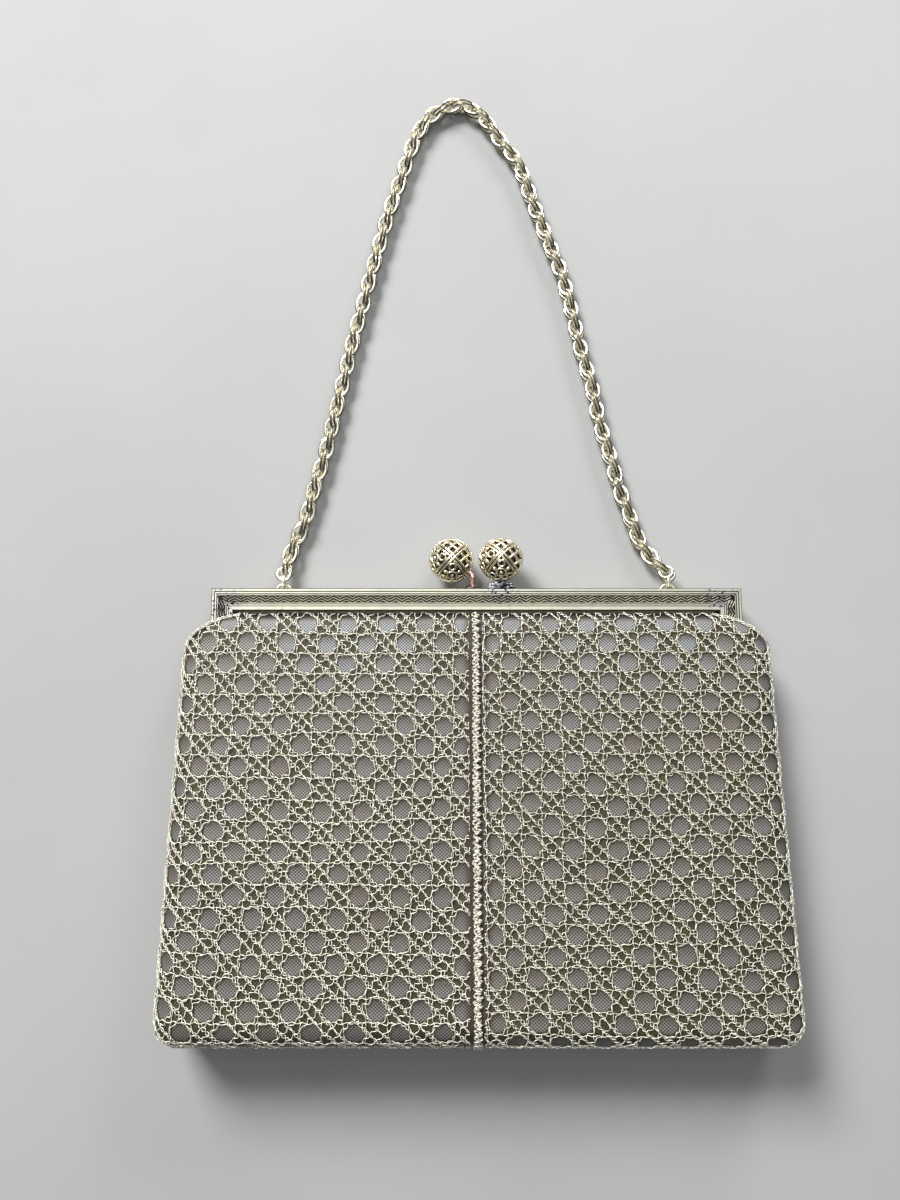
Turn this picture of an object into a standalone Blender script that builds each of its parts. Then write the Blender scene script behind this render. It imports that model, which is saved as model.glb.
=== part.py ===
"""Evening clutch: a two-part kiss-lock frame, a lace-covered wedge bag and a rope-chain handle.

The clutch lies closed on its back. +X runs across it, +Y from the bag's bottom edge to the
frame, and +Z out of its front. The origin is the centre of the footprint, on the surface that
it lies on. Every length is in metres.
"""

import math

import bmesh
import bpy
from mathutils import Matrix, Vector

# Frame
FRAME_WIDTH = 0.166
FRAME_BAR = 0.007
FRAME_DEPTH = 0.0058
FRAME_WALL = 0.0008
FRAME_DROP = 0.041
OPEN_ANGLE = math.radians(65)
EAR_RADIUS = 0.0034
EAR_THICKNESS = 0.003
EAR_SHOULDER = 0.4
PIN_RADIUS = 0.001
PIN_HEAD_RADIUS = 0.0018
PIN_HEAD = 0.0008
PACKING_WIDTH = 0.0026

# Bag
BAG_LENGTH = 0.1272
BAG_BOTTOM_WIDTH = FRAME_WIDTH + 0.023
BAG_TOP_WIDTH = FRAME_WIDTH + 0.018
BAG_BOTTOM_DEPTH = 0.026
TOP_PUFF = 0.0009
RIM_SPACING = 0.0012
REAR_CORNER = 0.007
LACE = 0.0008
CLOTH = 0.0006
BOARD = 0.001
LINING = 0.0006
SEAM_WIDTH = 0.003
SEAM_PROUD = 0.0004
LAST_COLUMN = 0.98

# Kiss-lock balls
BALL_DIAMETER = 0.0143
BALL_CLEARANCE = 0.0015
BALL_SPACING = BALL_DIAMETER + BALL_CLEARANCE
BALL_STANDOFF = 0.00275
BALL_RISE = BALL_DIAMETER / 2 + BALL_STANDOFF
BALL_FLOOR_GAP = 0.0009
REAR_BALL_LIFT = 0.0001
FRONT_BALL_LIFT = 0.0019
FRONT_BASE_LENGTH = 0.008
REAR_BASE_LENGTH = 0.006
REAR_BASE_X = -0.002
BASE_THICKNESS = 0.0006
FRONT_STEM_RADIUS = 0.0016
FRONT_STEM_TAPER = 0.75
REAR_STEM_RADIUS = 0.0009
REAR_STEM_BOW = 0.0006

# Chain handle
EYELET_SPACING = 0.124
EYELET_RADIUS = 0.0024
WIRE_RADIUS = 0.00045
RING_RADIUS = 0.0019
CHAIN_RADIUS = 0.0025
CHAIN_STEP = 0.0075

# Facets of the round pieces
ARC_STEPS = 12
RING_STEPS = 20
PIN_SIDES = 24
STEM_SIDES = 16
BALL_SEGMENTS = 24
BALL_RINGS = 14
WIRE_SIDES = 8

# Clearances
GAP = 0.0003
BORE_CLEARANCE = 0.0001
BEND_CLEARANCE = 0.001

# Where each layer starts, measured inwards from the lace's outer face.
CLOTH_START = LACE + GAP
FRAME_START = CLOTH_START + CLOTH + GAP
LINING_START = FRAME_START + BOARD + GAP

# Levels above the surface that the clutch lies on.
REAR_LOW = FRAME_START
REAR_HIGH = REAR_LOW + FRAME_DEPTH
FRONT_LOW = REAR_HIGH + GAP
FRONT_HIGH = FRONT_LOW + FRAME_DEPTH
REAR_MIDDLE = (REAR_LOW + REAR_HIGH) / 2
HINGE_Z = (REAR_HIGH + FRONT_LOW) / 2
REAR_BALL_Z = max(HINGE_Z + REAR_BALL_LIFT, BALL_DIAMETER / 2 + BALL_FLOOR_GAP)
FRONT_BALL_Z = REAR_BALL_Z + FRONT_BALL_LIFT
BAG_TOP_DEPTH = FRONT_HIGH + GAP + CLOTH + GAP + LACE + TOP_PUFF

# Places along the clutch.
TOTAL_LENGTH = SEAM_PROUD + BAG_LENGTH + GAP + FRAME_BAR + BALL_RISE + BALL_DIAMETER / 2
BOTTOM_Y = SEAM_PROUD - TOTAL_LENGTH / 2
LACE_TOP_Y = BOTTOM_Y + BAG_LENGTH
BAR_LOW_Y = LACE_TOP_Y + GAP
BAR_TOP_Y = BAR_LOW_Y + FRAME_BAR
BALL_Y = BAR_TOP_Y + BALL_RISE
HINGE_Y = BAR_TOP_Y - FRAME_DROP
LEG_END_Y = HINGE_Y + EAR_RADIUS + GAP

# The bag's edges roll over by a quarter turn about a flat core.
EDGE_ROLL = (BAG_TOP_DEPTH - RIM_SPACING) / 2
TOP_ROLL = math.acos(1 - 0.9 * TOP_PUFF / (EDGE_ROLL - CLOTH_START - CLOTH))
QUARTER = EDGE_ROLL * math.pi / 2
CORE_HALF = BAG_BOTTOM_WIDTH / 2 - EDGE_ROLL
CORE_LOW_Y = BOTTOM_Y + EDGE_ROLL
CORE_HIGH_Y = LACE_TOP_Y - EDGE_ROLL * math.sin(TOP_ROLL)
HALF_INSIDE = FRAME_WIDTH / 2 - FRAME_BAR - GAP

# Points of the chain from the left ring to the right one: x, and y above the bar's top.
CHAIN_ROUTE = [
    (-0.0600, 0.0143),
    (-0.0560, 0.0245),
    (-0.0525, 0.0375),
    (-0.0490, 0.0505),
    (-0.0455, 0.0665),
    (-0.0420, 0.0825),
    (-0.0380, 0.0995),
    (-0.0345, 0.1135),
    (-0.0310, 0.1275),
    (-0.0267, 0.1415),
    (-0.0220, 0.1565),
    (-0.0174, 0.1665),
    (-0.0110, 0.1723),
    (-0.0038, 0.1736),
    (0.0030, 0.1690),
    (0.0095, 0.1599),
    (0.0154, 0.1511),
    (0.0198, 0.1385),
    (0.0250, 0.1235),
    (0.0294, 0.1121),
    (0.0325, 0.0995),
    (0.0360, 0.0830),
    (0.0395, 0.0695),
    (0.0420, 0.0562),
    (0.0454, 0.0442),
    (0.0477, 0.0350),
    (0.0507, 0.0261),
    (0.0547, 0.0157),
]


def depth_at(y):
    """The bag's thickness at y, which grows from the frame to the bottom edge."""
    share = (y - BOTTOM_Y) / BAG_LENGTH
    return BAG_BOTTOM_DEPTH + (BAG_TOP_DEPTH - BAG_BOTTOM_DEPTH) * share


def taper_at(y):
    """The bag's width at y as a share of its width at the bottom edge."""
    share = (y - BOTTOM_Y) / BAG_LENGTH
    return 1 + (BAG_TOP_WIDTH / BAG_BOTTOM_WIDTH - 1) * share


# The front bends at the hinge line. The solids leave this much free on each side of it.
BEND_HALF = (
    (depth_at(HINGE_Y) - HINGE_Z + SEAM_PROUD) * math.sin(OPEN_ANGLE) + BEND_CLEARANCE
) / (1 + math.cos(OPEN_ANGLE))
LOWER_TOP_Y = HINGE_Y - BEND_HALF
UPPER_LOW_Y = HINGE_Y + BEND_HALF

COLOURS = {
    "frame_gold": ((0.62, 0.52, 0.30), 0.32, 1.0),
    "ball_gold": ((0.72, 0.58, 0.30), 0.30, 1.0),
    "chain_gold": ((0.80, 0.68, 0.38), 0.25, 1.0),
    "worn_silver": ((0.42, 0.42, 0.42), 0.45, 1.0),
    "pin_steel": ((0.55, 0.55, 0.55), 0.35, 1.0),
    "gold_lace": ((0.66, 0.58, 0.38), 0.60, 0.3),
    "ground_cloth": ((0.60, 0.57, 0.55), 0.75, 0.0),
    "board_card": ((0.45, 0.38, 0.28), 0.90, 0.0),
    "satin_lining": ((0.72, 0.66, 0.54), 0.45, 0.0),
    "packing_paper": ((0.70, 0.64, 0.52), 0.90, 0.0),
}


def make_material(slot):
    """A Principled material with the slot's colour, roughness and metallic value."""
    if slot in bpy.data.materials:
        return bpy.data.materials[slot]
    colour, roughness, metallic = COLOURS[slot]
    material = bpy.data.materials.new(slot)
    material.use_nodes = True
    shader = material.node_tree.nodes["Principled BSDF"]
    shader.inputs["Base Color"].default_value = (*colour, 1.0)
    shader.inputs["Roughness"].default_value = roughness
    shader.inputs["Metallic"].default_value = metallic
    return material


def add_pivot(name, place):
    """An empty on a joint's axis, which the pieces of a moving body are parented to."""
    pivot = bpy.data.objects.new(name, None)
    pivot.location = place
    bpy.context.scene.collection.objects.link(pivot)
    return pivot


def add_object(name, bm, slot, pivot=None, smooth=False):
    """One closed body from a bmesh in world places, with its origin on its pivot if it has one."""
    bmesh.ops.recalc_face_normals(bm, faces=bm.faces)
    mesh = bpy.data.meshes.new(name)
    bm.to_mesh(mesh)
    bm.free()
    if smooth:
        mesh.shade_smooth()
        mesh.set_sharp_from_angle(angle=math.radians(40))
    mesh.materials.append(make_material(slot))
    obj = bpy.data.objects.new(name, mesh)
    bpy.context.scene.collection.objects.link(obj)
    if pivot:
        mesh.transform(Matrix.Translation(-pivot.location))
        obj.parent = pivot
    return obj


def loft(rings):
    """A closed bmesh through rings of equally many points, each ring closed on itself."""
    bm = bmesh.new()
    loops = [[bm.verts.new(point) for point in ring] for ring in rings]
    count = len(loops[0])
    for near, far in zip(loops, loops[1:]):
        for i in range(count):
            j = (i + 1) % count
            bm.faces.new((near[i], near[j], far[j], far[i]))
    bm.faces.new(loops[0])
    bm.faces.new(loops[-1])
    return bm


def sheet(outer, inner):
    """A closed bmesh between two grids of points of the same size."""
    bm = bmesh.new()
    top = [[bm.verts.new(point) for point in row] for row in outer]
    low = [[bm.verts.new(point) for point in row] for row in inner]
    rows = len(top)
    columns = len(top[0])
    for i in range(rows - 1):
        for j in range(columns - 1):
            bm.faces.new((top[i][j], top[i][j + 1], top[i + 1][j + 1], top[i + 1][j]))
            bm.faces.new((low[i][j], low[i + 1][j], low[i + 1][j + 1], low[i][j + 1]))
    rim = [(0, j) for j in range(columns)]
    rim += [(i, columns - 1) for i in range(1, rows)]
    rim += [(rows - 1, j) for j in range(columns - 2, -1, -1)]
    rim += [(i, 0) for i in range(rows - 2, 0, -1)]
    for (i, j), (m, n) in zip(rim, rim[1:] + rim[:1]):
        bm.faces.new((top[i][j], low[i][j], low[m][n], top[m][n]))
    return bm


def spaced(low, high, steps):
    """Values from low to high in equal steps, both ends included."""
    return [low + (high - low) * i / steps for i in range(steps + 1)]


def tube_between(points, radius, sides=10):
    """A closed bmesh of a round bar along points that lie in one plane of constant or rising z."""
    rings = []
    for i, point in enumerate(points):
        before = Vector(points[max(i - 1, 0)])
        after = Vector(points[min(i + 1, len(points) - 1)])
        turn = (after - before).to_track_quat("Z", "Y")
        ring = []
        for k in range(sides):
            angle = 2 * math.pi * k / sides
            offset = Vector((math.cos(angle), math.sin(angle), 0)) * radius
            ring.append(Vector(point) + turn @ offset)
        rings.append(ring)
    return loft(rings)


def skin_point(a, b, inset, front):
    """A point of the bag's skin: a and b are measured along its face, then round its rolled edge."""
    core_x = min(max(a, -CORE_HALF), CORE_HALF)
    core_y = min(max(b, CORE_LOW_Y), CORE_HIGH_Y)
    over = Vector((a - core_x, b - core_y))
    turned = over.length / EDGE_ROLL
    towards = over.normalized()
    radius = EDGE_ROLL - inset
    x = core_x + towards.x * radius * math.sin(turned)
    y = core_y + towards.y * radius * math.sin(turned)
    rise = EDGE_ROLL - radius * math.cos(turned)
    z = depth_at(y) - rise if front else rise
    return (x * taper_at(y), y, z)


def skin_rows(a, low_y, high_y, front):
    """The b values of one column of a skin, between its ends or the bag's rolled edges."""
    past = min(max(abs(a) - CORE_HALF, 0) / QUARTER, 1) * LAST_COLUMN
    share = math.sqrt(1 - past * past)
    rows = [low_y]
    if low_y is None:
        rows = spaced(CORE_LOW_Y - QUARTER * share, CORE_LOW_Y, 4)
    if high_y is not None:
        return rows[:-1] + spaced(rows[-1], high_y, 3)
    if front:
        end_y = CORE_HIGH_Y + EDGE_ROLL * TOP_ROLL * share
        return rows[:-1] + spaced(rows[-1], CORE_HIGH_Y, 3) + spaced(CORE_HIGH_Y, end_y, 2)[1:]
    end_y = CORE_HIGH_Y - REAR_CORNER * (1 - share)
    return rows[:-1] + spaced(rows[-1], end_y, 5)


def add_skin(name, slot, front, columns, layer, low_y=None, high_y=None, pivot=None):
    """One layer of the bag's front or back between two columns, with its rolled edges."""
    inset, thickness = layer
    grids = []
    for depth in (inset, inset + thickness):
        grid = []
        for a in columns:
            rows = skin_rows(a, low_y, high_y, front)
            grid.append([skin_point(a, b, depth, front) for b in rows])
        grids.append(grid)
    return add_object(name, sheet(*grids), slot, pivot, smooth=True)


def columns_between(low, high):
    """Columns across part of the bag, closer together round its rolled sides."""
    flat_low = max(low, -CORE_HALF)
    flat_high = min(high, CORE_HALF)
    columns = spaced(flat_low, flat_high, 3)
    if low < -CORE_HALF:
        columns = spaced(low, -CORE_HALF, 4)[:-1] + columns
    if high > CORE_HALF:
        columns = columns + spaced(CORE_HALF, high, 4)[1:]
    return columns


def add_plate(name, slot, outline, low, high, pivot=None):
    """A flat plate with an outline in x and y, between two levels that may depend on y."""
    rings = [[(x, y, level(y)) for x, y in outline] for level in (low, high)]
    return add_object(name, loft(rings), slot, pivot)


def bag_outline(low_y, high_y, narrow_half=None, step_y=None):
    """An outline inside the bag's core, which narrows at step_y if that is given."""
    corner = EDGE_ROLL / 2
    inside = CORE_HALF - GAP
    right = [((inside - corner) * taper_at(low_y), low_y)]
    right.append((inside * taper_at(low_y), low_y + corner))
    if step_y is None:
        right.append((inside * taper_at(high_y), high_y))
    else:
        right += [(inside * taper_at(step_y), step_y), (narrow_half, step_y), (narrow_half, high_y)]
    return right + [(-x, y) for x, y in reversed(right)]


def frame_section(low, high):
    """The channel's section: inward distance from the outer edge, and level."""
    return [
        (0, low),
        (FRAME_BAR, low),
        (FRAME_BAR, low + FRAME_WALL),
        (FRAME_WALL, low + FRAME_WALL),
        (FRAME_WALL, high - FRAME_WALL),
        (FRAME_BAR, high - FRAME_WALL),
        (FRAME_BAR, high),
        (0, high),
    ]


def bent_round_frame(section):
    """A section carried down one leg of the frame, across its bar and down the other leg."""
    half = FRAME_WIDTH / 2
    stations = [
        lambda n, z: (n - half, LEG_END_Y, z),
        lambda n, z: (n - half, BAR_TOP_Y - n, z),
        lambda n, z: (half - n, BAR_TOP_Y - n, z),
        lambda n, z: (half - n, LEG_END_Y, z),
    ]
    return loft([[place(n, z) for n, z in section] for place in stations])


def ear_outline(reach):
    """A hinge ear in y and z about the pin: a round end on a lug that goes up into the leg."""
    flat = GAP / 2
    tall = FRAME_DEPTH + flat
    outline = [(reach, flat)]
    for i in range(ARC_STEPS + 1):
        angle = -math.pi * i / ARC_STEPS
        outline.append((EAR_RADIUS * math.cos(angle), EAR_RADIUS * math.sin(angle)))
    shoulder = tall * EAR_SHOULDER
    outline += [(-EAR_RADIUS, shoulder), (-EAR_RADIUS / 5, tall), (reach, tall)]
    return outline


def combine(target, tool, operation):
    """Joins a tool to the target or cuts it out with a Boolean, and leaves the tool out of the model."""
    modifier = target.modifiers.new(operation.lower(), "BOOLEAN")
    modifier.operation = operation
    modifier.solver = "EXACT"
    modifier.object = tool
    tool.hide_render = True
    tool.display_type = "WIRE"
    tool.parent = target.parent


def add_frame_half(name, front, pivot=None):
    """One channel of the frame with its two hinge ears and their bores."""
    low = FRONT_LOW if front else REAR_LOW
    high = FRONT_HIGH if front else REAR_HIGH
    frame = add_object(name, bent_round_frame(frame_section(low, high)), "frame_gold", pivot)
    inner_x = FRAME_WIDTH / 2 - FRAME_BAR + GAP
    start = inner_x if front else inner_x + EAR_THICKNESS + GAP
    facing = 1 if front else -1
    outline = ear_outline(LEG_END_Y - HINGE_Y + FRAME_BAR / 3)
    for side, tag in ((-1, "left"), (1, "right")):
        rings = []
        for x in (start, start + EAR_THICKNESS):
            rings.append([(side * x, HINGE_Y + y, HINGE_Z + facing * z) for y, z in outline])
        ear = add_object(f"{name}_ear_{tag}", loft(rings), "frame_gold", pivot)
        combine(frame, ear, "UNION")
        ends = [(side * (start - GAP), HINGE_Y, HINGE_Z)]
        ends.append((side * (start + EAR_THICKNESS + GAP), HINGE_Y, HINGE_Z))
        bore = tube_between(ends, PIN_RADIUS + BORE_CLEARANCE, PIN_SIDES)
        cutter = add_object(f"{name}_bore_{tag}", bore, "frame_gold", pivot)
        combine(frame, cutter, "DIFFERENCE")
    return frame


def add_hinge_pin(name, side):
    """A rivet through both ears, with a head at each end."""
    inner = FRAME_WIDTH / 2 - FRAME_BAR
    outer = inner + 2 * EAR_THICKNESS + 3 * GAP
    profile = [
        (inner - PIN_HEAD, PIN_HEAD_RADIUS),
        (inner, PIN_HEAD_RADIUS),
        (inner, PIN_RADIUS),
        (outer, PIN_RADIUS),
        (outer, PIN_HEAD_RADIUS),
        (outer + PIN_HEAD, PIN_HEAD_RADIUS),
    ]
    rings = []
    for x, radius in profile:
        ring = []
        for k in range(PIN_SIDES):
            angle = 2 * math.pi * k / PIN_SIDES
            y = HINGE_Y + radius * math.cos(angle)
            ring.append((side * x, y, HINGE_Z + radius * math.sin(angle)))
        rings.append(ring)
    return add_object(name, loft(rings), "pin_steel", smooth=True)


def add_packing(name, low, pivot=None):
    """The paper strip that wedges the fabric into a channel."""
    near = FRAME_WALL + GAP
    far = near + PACKING_WIDTH
    base = low + FRAME_WALL + GAP
    top = low + FRAME_DEPTH - FRAME_WALL - GAP
    section = [(near, base), (far, base), (far, top), (near, top)]
    half = FRAME_WIDTH / 2
    rings = []
    for side in (-1, 1):
        rings.append([(side * (half - FRAME_BAR), BAR_TOP_Y - n, z) for n, z in section])
    return add_object(name, loft(rings), "packing_paper", pivot)


def add_base(name, low, centre_x, length, pivot=None):
    """The soldered foot of a clasp on top of one frame bar."""
    start_y = BAR_TOP_Y + GAP
    base_low = low + FRAME_WALL
    base_high = low + FRAME_DEPTH - FRAME_WALL
    outline = [
        (centre_x - length / 2, start_y),
        (centre_x + length / 2, start_y),
        (centre_x + length / 2 - BASE_THICKNESS, start_y + BASE_THICKNESS),
        (centre_x - length / 2 + BASE_THICKNESS, start_y + BASE_THICKNESS),
    ]
    rings = [[(x, y, z) for x, y in outline] for z in (base_low, base_high)]
    return add_object(name, loft(rings), "worn_silver", pivot)


def add_ball(name, x, z, pivot=None):
    """A clasp ball, kept as the closed outer sphere of the pierced ball."""
    bm = bmesh.new()
    place = Matrix.Translation((x, BALL_Y, z))
    bmesh.ops.create_uvsphere(
        bm,
        u_segments=BALL_SEGMENTS,
        v_segments=BALL_RINGS,
        radius=BALL_DIAMETER / 2,
        matrix=place,
    )
    return add_object(name, bm, "ball_gold", pivot, smooth=True)


def add_front_stem(pivot):
    """The short cone that carries the front ball on its foot."""
    x = BALL_SPACING / 2
    low_y = BAR_TOP_Y + 2 * GAP + BASE_THICKNESS
    high_y = BALL_Y - BALL_DIAMETER / 2 - GAP
    rings = []
    for y, share in ((low_y, 1.0), (high_y, FRONT_STEM_TAPER)):
        ring = []
        for k in range(STEM_SIDES):
            angle = 2 * math.pi * k / STEM_SIDES
            radius = FRONT_STEM_RADIUS * share
            z = FRONT_BALL_Z + radius * math.sin(angle)
            ring.append((x + radius * math.cos(angle), y, z))
        rings.append(ring)
    return add_object("front_clasp_stem", loft(rings), "worn_silver", pivot, smooth=True)


def add_rear_stem():
    """The bent wire that carries the rear ball and snaps past the front one."""
    ball = Vector((-BALL_SPACING / 2, BALL_Y, REAR_BALL_Z))
    foot = Vector((REAR_BASE_X, BAR_TOP_Y + 2 * GAP + BASE_THICKNESS, REAR_MIDDLE))
    lean = (foot - ball).normalized()
    tip = ball + lean * (BALL_DIAMETER / 2 + GAP + REAR_STEM_RADIUS / 2)
    bow = Vector((REAR_STEM_BOW, 0, 0))
    points = [foot, foot.lerp(tip, 0.35) + bow, foot.lerp(tip, 0.7) + bow, tip]
    stem = tube_between(points, REAR_STEM_RADIUS)
    return add_object("rear_clasp_stem", stem, "worn_silver", smooth=True)


def add_eyelet(name, side):
    """A half-round wire loop on top of the rear bar, with its feet on the bar."""
    centre = Vector((side * EYELET_SPACING / 2, BAR_TOP_Y + GAP, REAR_MIDDLE))
    points = []
    for i in range(ARC_STEPS + 1):
        angle = math.pi * i / ARC_STEPS
        points.append(centre + Vector((math.cos(angle), math.sin(angle), 0)) * EYELET_RADIUS)
    wire = tube_between(points, WIRE_RADIUS, WIRE_SIDES)
    return add_object(name, wire, "frame_gold", smooth=True)


def ring_centre_y():
    """The jump ring's centre, with the eyelet's wire just inside the ring."""
    return BAR_TOP_Y + GAP + EYELET_RADIUS + RING_RADIUS - 2 * WIRE_RADIUS - 0.7 * GAP


def add_jump_ring(name, side, pivot):
    """A wire ring hooked over the eyelet's top wire, in the y-z plane."""
    bm = bmesh.new()
    loops = []
    for i in range(RING_STEPS):
        turn = 2 * math.pi * i / RING_STEPS
        loop = []
        for k in range(WIRE_SIDES):
            angle = 2 * math.pi * k / WIRE_SIDES
            reach = RING_RADIUS + WIRE_RADIUS * math.cos(angle)
            x = side * EYELET_SPACING / 2 + WIRE_RADIUS * math.sin(angle)
            y = ring_centre_y() + reach * math.cos(turn)
            loop.append(bm.verts.new((x, y, REAR_MIDDLE + reach * math.sin(turn))))
        loops.append(loop)
    for i, loop in enumerate(loops):
        after = loops[(i + 1) % RING_STEPS]
        for k in range(WIRE_SIDES):
            j = (k + 1) % WIRE_SIDES
            bm.faces.new((loop[k], loop[j], after[j], after[k]))
    return add_object(name, bm, "chain_gold", pivot, smooth=True)


def smooth_route(points, step):
    """Points about a step apart on a smooth curve through the given points."""
    ends = [points[0] * 2 - points[1]] + points + [points[-1] * 2 - points[-2]]
    found = [points[0]]
    for before, start, end, after in zip(ends, ends[1:], ends[2:], ends[3:]):
        count = max(round((end - start).length / step), 1)
        for i in range(1, count + 1):
            t = i / count
            near = 2 * start + (end - before) * t
            bend = (2 * before - 5 * start + 4 * end - after) * t * t
            far = (3 * start - before - 3 * end + after) * t * t * t
            found.append((near + bend + far) / 2)
    return found


def add_chain(pivot):
    """The rope chain as one tube along its real route, its lowest stretch on the surface."""
    start_y = ring_centre_y() + RING_RADIUS + WIRE_RADIUS + GAP
    ends = [Vector((side * EYELET_SPACING / 2, start_y, REAR_MIDDLE)) for side in (-1, 1)]
    rest_z = CHAIN_RADIUS + GAP / 2
    lying = [Vector((x, BAR_TOP_Y + y, rest_z)) for x, y in CHAIN_ROUTE]
    curve = bpy.data.curves.new("chain_handle", "CURVE")
    curve.dimensions = "3D"
    curve.bevel_depth = CHAIN_RADIUS
    curve.bevel_resolution = 2
    curve.use_fill_caps = True
    spline = curve.splines.new("POLY")
    points = smooth_route([ends[0]] + lying + [ends[1]], CHAIN_STEP)
    spline.points.add(len(points) - 1)
    for target, point in zip(spline.points, points):
        target.co = (*(point - pivot.location), 1.0)
    curve.materials.append(make_material("chain_gold"))
    chain = bpy.data.objects.new("chain_handle", curve)
    bpy.context.scene.collection.objects.link(chain)
    chain.parent = pivot
    return chain


def gusset_stations(start, end, steps):
    """Core points and outward directions round the bag's side and bottom edge.

    The way runs from 0 at the hinge line down the right side (1 at its end), round the corner
    (2 at its end) and to the middle of the bottom (3 at its end).
    """
    found = []
    for way in spaced(start, end, steps):
        if way <= 1:
            y = LOWER_TOP_Y + (CORE_LOW_Y - LOWER_TOP_Y) * way
            found.append((Vector((CORE_HALF, y)), Vector((1, 0))))
        elif way <= 2:
            angle = -(way - 1) * math.pi / 2
            outward = Vector((math.cos(angle), math.sin(angle)))
            found.append((Vector((CORE_HALF, CORE_LOW_Y)), outward))
        else:
            x = CORE_HALF * (3 - way)
            found.append((Vector((x, CORE_LOW_Y)), Vector((0, -1))))
    return found


def band_section(core, outward, side):
    """The four corners of the gusset at one station: the cloth between the two rolled rims."""
    section = []
    for inset, top in ((0, False), (0, True), (CLOTH, True), (CLOTH, False)):
        place = core + outward * (EDGE_ROLL - CLOTH_START - inset)
        z = depth_at(place.y) - EDGE_ROLL - GAP if top else EDGE_ROLL + GAP
        section.append((side * place.x * taper_at(place.y), place.y, z))
    return section


def add_gussets():
    """The cloth bands that join the front and the back at both sides and along the bottom."""
    cut = 1.5
    sliver = GAP / (EDGE_ROLL * math.pi / 2)
    for side, tag in ((-1, "left"), (1, "right")):
        stations = gusset_stations(0, 1, 3)[:-1] + gusset_stations(1, cut - sliver, 3)
        rings = [band_section(core, outward, side) for core, outward in stations]
        add_object(f"gusset_{tag}", loft(rings), "ground_cloth")
    right = gusset_stations(cut + sliver, 2, 3)[:-1] + gusset_stations(2, 3, 2)[:-1]
    rings = [band_section(core, outward, 1) for core, outward in right]
    rings += [band_section(core, outward, -1) for core, outward in reversed(right)]
    add_object("bottom_gusset", loft(rings), "ground_cloth")


def add_fabric(front, prefix, suffix, low_y, high_y, pivot=None):
    """The lace halves, seam cord and ground cloth of one stretch of the bag."""
    side_end = CORE_HALF + QUARTER
    seam_half = SEAM_WIDTH / 2
    lace = (0, LACE)
    proud = (-SEAM_PROUD, LACE + SEAM_PROUD) if front else lace
    left = columns_between(-side_end, -seam_half - GAP)
    right = columns_between(seam_half + GAP, side_end)
    middle = [-seam_half, seam_half]
    whole = columns_between(-side_end, side_end)
    cloth = (CLOTH_START, CLOTH)
    ends = {"low_y": low_y, "high_y": high_y, "pivot": pivot}
    add_skin(f"{prefix}_lace_left{suffix}", "gold_lace", front, left, lace, **ends)
    add_skin(f"{prefix}_lace_right{suffix}", "gold_lace", front, right, lace, **ends)
    add_skin(f"{prefix}_seam_cord{suffix}", "gold_lace", front, middle, proud, **ends)
    add_skin(f"{prefix}_cloth{suffix}", "ground_cloth", front, whole, cloth, **ends)


def add_linings_and_boards(pivot):
    """The stiffening boards under the cloth and the satin inside, back and front."""
    low_y = CORE_LOW_Y
    board_low = FRAME_START
    board_high = board_low + BOARD
    lining_low = LINING_START
    lining_high = lining_low + LINING
    step_y = HINGE_Y - EAR_RADIUS - GAP
    packing_y = BAR_TOP_Y - FRAME_WALL - PACKING_WIDTH - 2 * GAP
    rear_board = bag_outline(low_y, LACE_TOP_Y, HALF_INSIDE, step_y)
    rear_lining = bag_outline(low_y, packing_y, HALF_INSIDE, step_y)
    front_lower = bag_outline(low_y, LOWER_TOP_Y)
    add_plate("rear_board", "board_card", rear_board, lambda y: board_low, lambda y: board_high)
    add_plate(
        "rear_lining", "satin_lining", rear_lining, lambda y: lining_low, lambda y: lining_high
    )
    add_plate(
        "front_board_lower",
        "board_card",
        front_lower,
        lambda y: depth_at(y) - board_high,
        lambda y: depth_at(y) - board_low,
    )
    add_plate(
        "front_lining_lower",
        "satin_lining",
        front_lower,
        lambda y: depth_at(y) - lining_high,
        lambda y: depth_at(y) - lining_low,
    )
    upper = [(HALF_INSIDE, UPPER_LOW_Y), (HALF_INSIDE, CORE_HIGH_Y)]
    upper += [(-x, y) for x, y in reversed(upper)]
    add_plate(
        "front_board_upper",
        "board_card",
        upper,
        lambda y: depth_at(y) - board_high,
        lambda y: depth_at(y) - board_low,
        pivot,
    )
    inside = [(HALF_INSIDE, UPPER_LOW_Y), (HALF_INSIDE, packing_y)]
    inside += [(-x, y) for x, y in reversed(inside)]
    satin_top = FRONT_HIGH - FRAME_WALL - GAP
    add_plate(
        "front_lining_upper",
        "satin_lining",
        inside,
        lambda y: satin_top - LINING,
        lambda y: satin_top,
        pivot,
    )


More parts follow.
